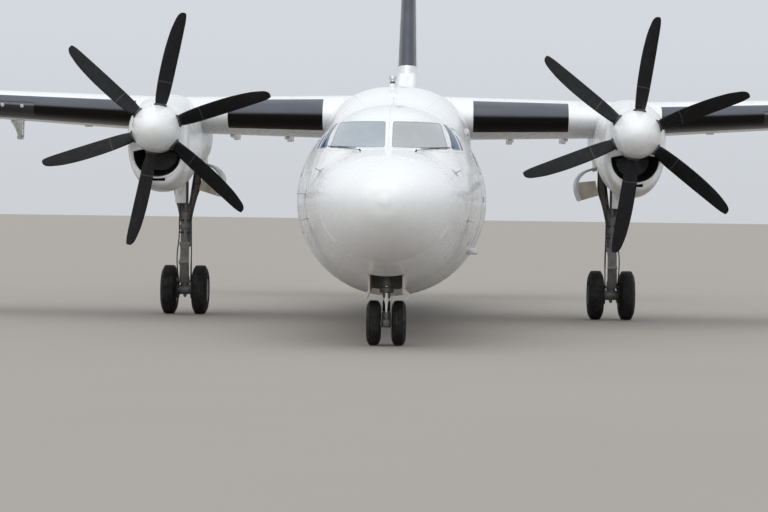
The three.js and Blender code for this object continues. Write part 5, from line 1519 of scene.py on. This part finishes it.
def plate(x, top, bottom, thickness=0.03):
    """A forged link with rounded edges between two (y, z, half width) ends."""
    rings = []
    for t in np.linspace(0, 1, 9):
        y, z, half = (mix(a, b, t) for a, b in zip(top, bottom))
        half *= 1 - 0.12 * math.sin(math.pi * t)
        angle = circle(36)
        c, s = np.cos(angle), np.sin(angle)
        across, deep = signed_power(c, 0.35), signed_power(s, 0.5)
        way = np.array([top[0] - bottom[0], top[1] - bottom[1]])
        normal = np.array([-way[1], way[0]]) / np.linalg.norm(way)
        rings.append(np.stack([x + half * across, y + normal[0] * thickness / 2 * deep,
                               z + normal[1] * thickness / 2 * deep], -1))
    return loft("plate", np.array(rings))


def leg_strut(x, y):
    """Cylinder with its collars, centre post and pivot tube."""
    return [
        upright(x, y, [(1.14, 0.088), (1.15, 0.1), (1.2, 0.1), (1.21, 0.086), (1.6, 0.088), (1.72, 0.095),
                       (1.76, 0.06)], 48),
        upright(x, y, [(1.42, 0.088), (1.45, 0.104), (1.5, 0.104), (1.53, 0.088)], 48),
        upright(x, y, [(1.64, 0.042), (YOKE["top"], 0.042)]),
        tube([(WELL["inner"] + 0.0004, y, YOKE["top"]), (WELL["outer"] - 0.0004, y, YOKE["top"])], 0.045, 32),
        crossbar(x, y, 1.9, 0.035, 0.055, 28),
    ]


def leg_yoke(x, y):
    """Two bent arms from the cylinder to the pivot, and the drag brace behind them."""
    parts = []
    for way, (elbow, top) in ((-1, YOKE["inner"]), (1, YOKE["outer"])):
        bends = [(0.02, YOKE["foot"] - 0.03), (0.075, 1.75), (0.135, 1.98), (elbow, YOKE["elbow"] + 0.02),
                 (mix(elbow, top, 0.5), 2.43), (top, YOKE["top"])]
        path = smooth_path([(x + way * out, y, z) for out, z in bends])
        parts.append(tube(path, list(np.linspace(0.058, 0.05, 41)), 32))
        for z, out in ((YOKE["top"], top), (YOKE["elbow"] + 0.02, elbow)):
            parts.append(crossbar(x + way * out, y, z, 0.04, 0.066, 32))
        brace = (x + way * BRACE["out"], aft(BRACE["station"]), BRACE["z"])
        parts.append(tube([(x + way * 0.02, y + 0.02, 1.42), brace], [0.036, 0.03], 24))
        post = BRACE["post"]
        parts.append(box((brace[0] - post, brace[1] - 0.033, brace[2]),
                         (brace[0] + post, brace[1] + 0.033, WELL["roof"] - 0.0004), 0.006))
    parts.append(crossbar(x, aft(BRACE["station"]), BRACE["z"], BRACE["out"] + BRACE["post"], 0.035, 28))
    return parts


def leg_links(x, y):
    """Broad torque links ahead of the piston, with their pins."""
    parts = [plate(x, (y - 0.095, 1.19, 0.088), (y - 0.32, 0.885, 0.07)),
             plate(x, (y - 0.335, 0.875, 0.07), (y - 0.075, 0.535, 0.088))]
    for back, z, reach, radius in LINK_PINS:
        ends = (x - reach, x - reach + 0.006, x + reach - 0.006, x + reach)
        path = [(end, y - back, z) for end in ends]
        parts.append(tube(path, [radius - 0.006, radius, radius, radius - 0.006]))
    return parts


def leg_foot(x, y, axle):
    return [
        upright(x, y, [(axle, 0.06), (0.5, 0.075), (0.62, 0.075), (0.66, 0.06)], 36),
        tube([(x - 0.108, y, axle), (x - 0.09, y, axle), (x + 0.09, y, axle), (x + 0.108, y, axle)],
             [0.07, 0.082, 0.082, 0.07], 36),
        upright(x, y, [(axle - 0.07, 0.03), (axle - 0.115, 0.028), (axle - 0.13, 0.012)], 20),
        *(box((x - 0.056, y - 0.1, low), (x + 0.056, y - 0.02, low + 0.07), 0.012) for low in (1.155, 0.52)),
    ]


def leg_pipes(x, y):
    """Brake hoses and wiring that run down the leg."""
    parts = []
    for way in (-1, 1):
        for bends, radius in ((LEG_HOSE, 0.01), (LEG_WIRING, 0.008)):
            path = smooth_path([(x + way * out, y + back, z) for out, back, z in bends])
            parts.append(tube(path, radius, 12))
        for z in (1.38, 1.58):
            parts.append(upright(x + way * 0.07, y - 0.085, [(z - 0.014, 0.042), (z + 0.014, 0.042)], 16))
    return parts


def leg_brakes(x, y, axle):
    parts = []
    for way in (-1, 1):
        at = x + way * 0.128
        parts.append(lathe("brake", [(0.05, at - 0.012), (0.15, at - 0.012), (0.158, at), (0.15, at + 0.03),
                                     (0.05, at + 0.03)], "x", (0, y, axle), 64))
        for k in range(6):
            a = math.radians(60 * k + 20)
            place = (y + 0.115 * math.cos(a), axle + 0.115 * math.sin(a))
            parts.append(tube([(at - way * 0.035, *place), (at, *place)], 0.022, 20))
    return parts


def add_main_leg():
    x, y, axle = MAIN_GEAR["x"], aft(MAIN_GEAR["station"]), MAIN_TYRE["radius"]
    piston = upright(x, y, [(0.64, 0.062), (1.15, 0.062)], 40)
    for which in SIDES:
        for name, meshes, material, slot, replaced in (
            ("main_leg_strut", leg_strut(x, y), GEAR, "gear_grey", [f"main_gear_leg_{which}"]),
            ("main_leg_yoke", leg_yoke(x, y), GEAR_BROWN, "gear_grey", []),
            ("main_leg_links", leg_links(x, y), GEAR_LINK, "gear_grey", []),
            ("main_leg_axle_housing", leg_foot(x, y, axle), GEAR, "gear_grey", []),
            ("main_leg_piston", [piston], CHROME, "bare_metal", []),
            ("main_leg_hoses", leg_pipes(x, y), HOSE, "tyre_rubber", []),
            ("main_brakes", leg_brakes(x, y, axle), DARK, "engine_metal", []),
        ):
            piece(f"{name}_{which}", sided(join_meshes(name, meshes), which), material, slot=slot,
                  replaces=replaced)


LEG_PANEL = {"x": 3.68, "half": 0.092}


def add_leg_panels():
    """The narrow white door ahead of each main leg, fixed to its strut."""
    x, y, half = LEG_PANEL["x"], aft(MAIN_GEAR["station"]), LEG_PANEL["half"]
    rows = []
    for z, size in ((1.872, 0.9), (1.884, 0.98), (1.91, 1.0), (2.1, 1.0), (2.33, 1.0)):
        front = y - 0.16 - 0.05 * (z - 1.87)
        rows.append([(x + half * size * t, front + back - 0.018 * (1 - t * t), z)
                     for back, shares in ((0, np.linspace(-1, 1, 13)), (0.014, np.linspace(1, -1, 13)))
                     for t in shares])
    pair("leg_panel", loft("panel", np.array(rows)), PLAIN_PAINT, "gear_door_paint")
    arms = [tube([(x + out, y - 0.15, z), (x - 0.05 + out, y, z - 0.04)], 0.012, 12)
            for out in (-0.05, 0.04) for z in (1.96, 2.24)]
    pair("leg_panel_arms", join_meshes("arms", arms), GEAR, "gear_grey")


INNER_DOOR = [(0.0, 2.552), (0.09, 2.537), (0.18, 2.500), (0.245, 2.448), (0.295, 2.385), (0.32, 2.318),
              (0.327, 2.250), (0.323, 2.190), (0.310, 2.130), (0.288, 2.060), (0.256, 1.990)]
INNER_DOOR_RIB = [(0.306, 2.30), (0.004, 2.335), (-0.055, 2.09), (0.238, 2.0)]
DOOR_RUN = (11.5, 12.5)
# The shell along its run: station, how far its skin is drawn in, and thickness
DOOR_RINGS = [(DOOR_RUN[0], 0.034, 0.006), (11.508, 0.02, 0.012), (11.53, 0.008, 0.02), (11.58, 0.0, 0.024),
              (12.42, 0.0, 0.024), (12.49, 0.004, 0.02), (DOOR_RUN[1], 0.01, 0.01)]


def add_inner_doors():
    """The curved inner doors: a shell rounded in at its front edge, a flange on the well's wall and a rib."""
    curve = np.array(smooth_path([(out, z, 0) for out, z in INNER_DOOR], 4))[:, :2]
    way = np.gradient(curve, axis=0)
    normal = np.stack([-way[:, 1], way[:, 0]], -1) / np.linalg.norm(way, axis=1, keepdims=True)
    wall, rings = WELL["inner"], []
    for station, drawn_in, thick in DOOR_RINGS:
        outside = curve - drawn_in * normal
        inside = curve - (drawn_in + thick) * normal
        outside[:, 0] = np.maximum(outside[:, 0], -0.0004)
        ring = np.concatenate([outside, inside[::-1]])
        rings.append(np.stack([wall - ring[:, 0], aft(station) + 0 * ring[:, 0], ring[:, 1]], -1))
    flange = box((wall + 0.0004, aft(DOOR_RUN[0]), 2.50), (wall + 0.0244, aft(DOOR_RUN[1]), 2.655), 0.004)
    ribs = [prism([(wall - out, z) for out, z in INNER_DOOR_RIB], "y", aft(s), aft(s + 0.03), 0.006)
            for s in (DOOR_RUN[0] + 0.012, DOOR_RUN[1] - 0.05)]
    shell = join_meshes("door", [loft("shell", np.array(rings)), flange, *ribs])
    pair("inner_door", shell, INNER_DOOR_PAINT, "white_paint", "main_gear_door_inner")


def add_nose_gear():
    y, axle = aft(NOSE_GEAR["station"]), NOSE_TYRE["radius"]
    wall = NOSE_BAY["half"] - 0.001
    brace = (aft(2.8), 1.44)
    leg = [
        upright(0, y, [(0.78, 0.07), (0.8, 0.082), (0.86, 0.082), (0.88, 0.072), (1.3, 0.072),
                       (1.48, 0.075)], 36),
        crossbar(0, y, 1.4, wall, 0.038),
        crossbar(0, *brace, wall, 0.03),
        tube([(0, y, 0.96), (-0.07, *brace)], 0.026, 20),
        tube([(0, y, 0.96), (0.07, *brace)], 0.026, 20),
        upright(0, y, [(0.93, 0.086), (0.99, 0.086)], 36),
    ]
    piece("nose_leg_strut", join_meshes("leg", leg), GEAR, slot="gear_grey", replaces=["nose_gear_leg"])
    lamp = [(0, -0.014), (0.055, -0.01), (0.066, 0.0), (0.068, 0.012)]
    piece("taxi_lamp_lens", lathe("lens", lamp, "y", (0, y - 0.145, 1.05), 48), LAMP, slot="cockpit_glass")
    shell = [(0.07, 0.0), (0.074, 0.012), (0.06, 0.05), (0.02, 0.07), (0, 0.07)]
    housing = lathe("housing", shell, "y", (0, y - 0.145, 1.05), 48)
    piece("taxi_lamp_housing", housing, GEAR_LIGHT, slot="gear_grey")
    fork = [
        upright(0, y, [(0.69, 0.082), (0.7, 0.092), (0.755, 0.092), (0.772, 0.08)], 36),
        crossbar(0, y, axle, 0.06, 0.062, 32),
        upright(0, y, [(axle, 0.05), (0.4, 0.06), (0.44, 0.05)], 32),
        box((-0.045, y - 0.13, axle - 0.045), (0.045, y, axle + 0.045), 0.01),
        box((-0.038, y + 0.06, 0.7), (0.038, y + 0.11, 0.765), 0.008),
        tube([(0, y + 0.09, 0.732), (0, y + 0.21, 0.56)], [0.022, 0.016], 16),
        tube([(0, y + 0.21, 0.56), (0, y + 0.04, 0.4)], [0.016, 0.022], 16),
        crossbar(0, y + 0.21, 0.56, 0.034, 0.022, 20),
    ]
    piece("nose_fork", join_meshes("fork", fork), GEAR, "nose_steering", "gear_grey", ["nose_gear_fork"])
    piston = upright(0, y, [(0.43, 0.0495), (1.085, 0.0495)], 36)
    piece("nose_piston", piston, CHROME, "nose_steering", "bare_metal")


def add_gear():
    for which, sign in SIDES.items():
        add_twin(f"main_wheels_{which}", MAIN_TYRE, sign * MAIN_GEAR["x"], MAIN_GEAR["station"],
                 f"main_wheels_{which}", 12)
    add_twin("nose_wheels", NOSE_TYRE, 0.0, NOSE_GEAR["station"], "nose_wheels", 8)
    add_main_leg()
    add_leg_panels()
    add_inner_doors()
    add_nose_gear()


# Small things on the skin


AERIAL = {"x": -0.085, "station": 9.3, "top": 3.925, "chord": 0.33}


def add_aerial():
    """A blunt aerial on the fairing's crown: white plinth, dark foot, and a silver neck under a wider cap."""
    base = float(FAIRING.at("top", AERIAL["station"])) - 0.06

    def ring(z, half, size):
        angle = circle(48)
        c, s = np.cos(angle), np.sin(angle)
        y = aft(AERIAL["station"]) + AERIAL["chord"] / 2 * size * c
        return np.stack([AERIAL["x"] + half * signed_power(s, 0.8), y, z + 0 * angle], -1)

    for name, rows, material in (
        ("plinth", [(base, 0.055, 1.0), (3.79, 0.053, 0.97), (3.8, 0.046, 0.9)], PLAIN_PAINT),
        ("foot", [(3.79, 0.044, 0.88), (3.832, 0.042, 0.84)], AERIAL_DARK),
        ("neck", [(3.83, 0.041, 0.8), (3.872, 0.041, 0.78)], AERIAL_SILVER),
        ("cap", [(3.868, 0.054, 0.84), (3.874, 0.062, 0.88), (3.9, 0.063, 0.88), (3.917, 0.058, 0.85),
                 (AERIAL["top"], 0.046, 0.78)], AERIAL_SILVER),
    ):
        mesh = loft(name, np.array([ring(*row) for row in rows]))
        nodes = ["crown_aerial"] if name == "plinth" else []
        piece(f"aerial_{name}", mesh, material, "airframe", "aerial_grey", nodes)


WIPER = {
    "arm": [(0.36, 2.535), (0.46, 2.548), (0.56, 2.563), (0.66, 2.58)],
    "blade": [(0.42, 2.575), (0.55, 2.582), (0.68, 2.592), (0.80, 2.603)],
}


def add_wipers():
    def over_nose(path, lift):
        return [tuple(p) for p in on_nose(np.array(path, float), lift)]

    pivot = WIPER["arm"][:1]
    meshes = [
        tube(smooth_path(over_nose(WIPER["arm"], 0.02), 4), 0.005, 10),
        tube(smooth_path(over_nose(WIPER["blade"], 0.014), 4), 0.005, 10),
        tube([over_nose(pivot, -0.01)[0], over_nose(pivot, 0.026)[0]], [0.012, 0.009], 20),
    ]
    pair("wiper", join_meshes("wiper", meshes), DARK, "blade_black")


PROBES = {"port": ((1.95, 2.27), (2.0, 1.66)), "starboard": ((1.95, 2.27), (2.05, 1.98), (2.0, 1.66))}
STATIC_PORTS = [(3.2, 1.35), (4.9, 1.2)]


def disc(station, z, half):
    """A round outline on the skin."""
    return rounded(oblong((station - half, z - half), (station + half, z + half)), half, 8)


def add_probes():
    """Probes on the nose, each a mast from a round foot and a tube that points ahead, and static ports."""
    side = on_side(FUSELAGE, 1)
    for which, places in PROBES.items():
        masts, feet = [], []
        for station, z in places:
            foot, out = side(np.array([[station, z]]))[0], side(np.array([[station, z]]), 1.0)[0]
            way = (out - foot) / np.linalg.norm(out - foot)
            elbow = foot + 0.085 * way + np.array([0, -0.03, -0.012])
            masts.append(tube([foot - 0.01 * way, elbow], [0.012, 0.007], 16))
            ends = [elbow + np.array([0, 0.012, 0]), elbow - np.array([0, 0.14, 0])]
            masts.append(tube(ends, [0.008, 0.005], 16))
            feet.append(sheet("foot", disc(station, z, 0.045), side, 0.003, 0.02, 4))
        piece(f"probes_{which}", sided(join_meshes("probes", masts), which), FRAME, slot="bare_metal")
        piece(f"probe_feet_{which}", sided(join_meshes("feet", feet), which), FRAME, slot="bare_metal")
    ports = [sheet("port", disc(station, z, 0.05), side, 0.002) for station, z in STATIC_PORTS]
    pair("static_ports", join_meshes("ports", ports), FRAME, "bare_metal")


def add_lamp_housings():
    """A lamp in a rounded housing on the fairing's port shoulder, aimed ahead along the wing."""
    x, y, z = 1.09, aft(8.9), 3.03
    body = lathe("housing", [(0, -0.07), (0.035, -0.066), (0.055, -0.045), (0.062, 0.0), (0.055, 0.08),
                             (0.03, 0.15), (0, 0.17)], "y", (x, y, z), 40)
    piece("lamp_housing_port", body, LAMP, slot="cockpit_glass")


def blade_aerial(name, station, way, height=0.16, chord=0.18):
    """A small swept blade aerial on the fuselage's crown (+1) or keel (-1)."""
    z = float(FUSELAGE.at("top" if way > 0 else "bottom", station))
    rings = []
    for t in np.linspace(0, 1, 10):
        size = mix(1, 0.45, t)
        angle = circle(28)
        y = aft(station) + chord / 2 * size * np.cos(angle) + 0.09 * t
        level = z + way * (height * t - 0.01)
        rings.append(np.stack([0.012 * size * np.sin(angle), y, level + 0 * angle], -1))
    piece(name, loft("blade", np.array(rings)), PLAIN_PAINT, slot="aerial_grey")


BEACON = 12.4


def add_skin_details():
    add_aerial()
    add_wipers()
    add_probes()
    add_lamp_housings()
    blade_aerial("crown_blade_front", 5.4, 1)
    blade_aerial("crown_blade_rear", 16.8, 1)
    blade_aerial("keel_blade_front", 6.2, -1)
    blade_aerial("keel_blade_rear", 13.5, -1)
    dome = [(0.075, 0.0), (0.075, -0.02), (0.066, -0.06), (0.045, -0.09), (0.02, -0.104), (0, -0.108)]
    beacon = lathe("dome", dome, "y", (0, 0, 0), 48)
    beacon.transform(Matrix.Rotation(math.radians(90), 4, "X"))
    keel = float(FUSELAGE.at("bottom", BEACON))
    beacon.transform(Matrix.Translation((0, aft(BEACON), keel + 0.01)))
    piece("beacon_keel", beacon, RED_LAMP, slot="cockpit_glass")


# Camera, floor and light

CAMERA = {"place": (0.634, -43.901, 1.692), "lens": 119.44, "sensor": 36.0,
          "yaw": 1.158, "pitch": -0.892, "roll": 0.761}
FLOOR = {"half": 1500.0, "z": -0.002}
SKY = [(0.0, (0.68, 0.71, 0.75)), (0.12, (0.76, 0.80, 0.86)), (0.75, (0.93, 0.97, 1.0))]
SKY_STRENGTH = 0.9
LAMPS = [("key", 1.5, 100, (42, 0, -18)), ("fill", 0.3, 100, (60, 0, 35))]


def add_camera():
    yaw, pitch, roll = (math.radians(CAMERA[k]) for k in ("yaw", "pitch", "roll"))
    ahead = Vector((-math.sin(yaw) * math.cos(pitch), math.cos(yaw) * math.cos(pitch), math.sin(pitch)))
    level = ahead.cross(Vector((0, 0, 1))).normalized()
    high = level.cross(ahead)
    right = level * math.cos(roll) + high * math.sin(roll)
    up = -level * math.sin(roll) + high * math.cos(roll)
    data = bpy.data.cameras.new("photo_camera")
    data.lens, data.sensor_width, data.sensor_fit = CAMERA["lens"], CAMERA["sensor"], "HORIZONTAL"
    data.clip_start, data.clip_end = 0.1, 4000.0
    camera = bpy.data.objects.new("photo_camera", data)
    bpy.context.scene.collection.objects.link(camera)
    turn = Matrix((right, up, -ahead)).transposed()
    camera.matrix_world = Matrix.Translation(CAMERA["place"]) @ turn.to_4x4()
    bpy.context.scene.camera = camera
    bpy.context.scene.view_settings.view_transform = "Standard"


def add_floor():
    half = FLOOR["half"]
    corners = [(*corner, FLOOR["z"]) for corner in oblong((-half, -half), (half, half))]
    mesh = bpy.data.meshes.new("floor")
    mesh.from_pydata(corners, [], [(0, 1, 2, 3)])
    floor = bpy.data.objects.new("studio_floor", mesh)
    bpy.context.scene.collection.objects.link(floor)
    paint = Paint("floor_pale", Roughness=0.85)
    paint.colour(paint.noise(0.2, 3), (0.305, 0.278, 0.25), (0.33, 0.30, 0.27))
    mesh.materials.append(paint.material)


def add_light():
    """A studio, bright overhead and dimmer toward its horizon, with a broad key from above and ahead."""
    world = bpy.data.worlds.new("studio")
    world.use_nodes = True
    nodes, links = world.node_tree.nodes, world.node_tree.links
    split = nodes.new("ShaderNodeSeparateXYZ")
    links.new(nodes.new("ShaderNodeTexCoord").outputs["Generated"], split.inputs[0])
    ramp = nodes.new("ShaderNodeValToRGB")
    for element, (place, colour) in zip(ramp.color_ramp.elements, SKY[::2]):
        element.position, element.color = place, (*colour, 1.0)
    place, colour = SKY[1]
    ramp.color_ramp.elements.new(place).color = (*colour, 1.0)
    links.new(split.outputs[2], ramp.inputs[0])
    links.new(ramp.outputs[0], nodes["Background"].inputs["Color"])
    nodes["Background"].inputs["Strength"].default_value = SKY_STRENGTH
    bpy.context.scene.world = world
    for name, energy, angle, turn in LAMPS:
        light = bpy.data.lights.new(name, "SUN")
        light.energy, light.angle = energy, math.radians(angle)
        lamp = bpy.data.objects.new(name, light)
        lamp.rotation_euler = tuple(math.radians(t) for t in turn)
        bpy.context.scene.collection.objects.link(lamp)


paint_nodes()
add_radome()
add_fuselage()
add_fairing()
add_panes()
add_cabin_windows()
add_hatches()
add_wing()
add_tailplane()
add_fin()
add_boots()
add_landing_lights()
add_wing_details()
add_nacelle()
add_exhaust()
add_propellers()
add_gear()
add_skin_details()
add_camera()
add_floor()
add_light()
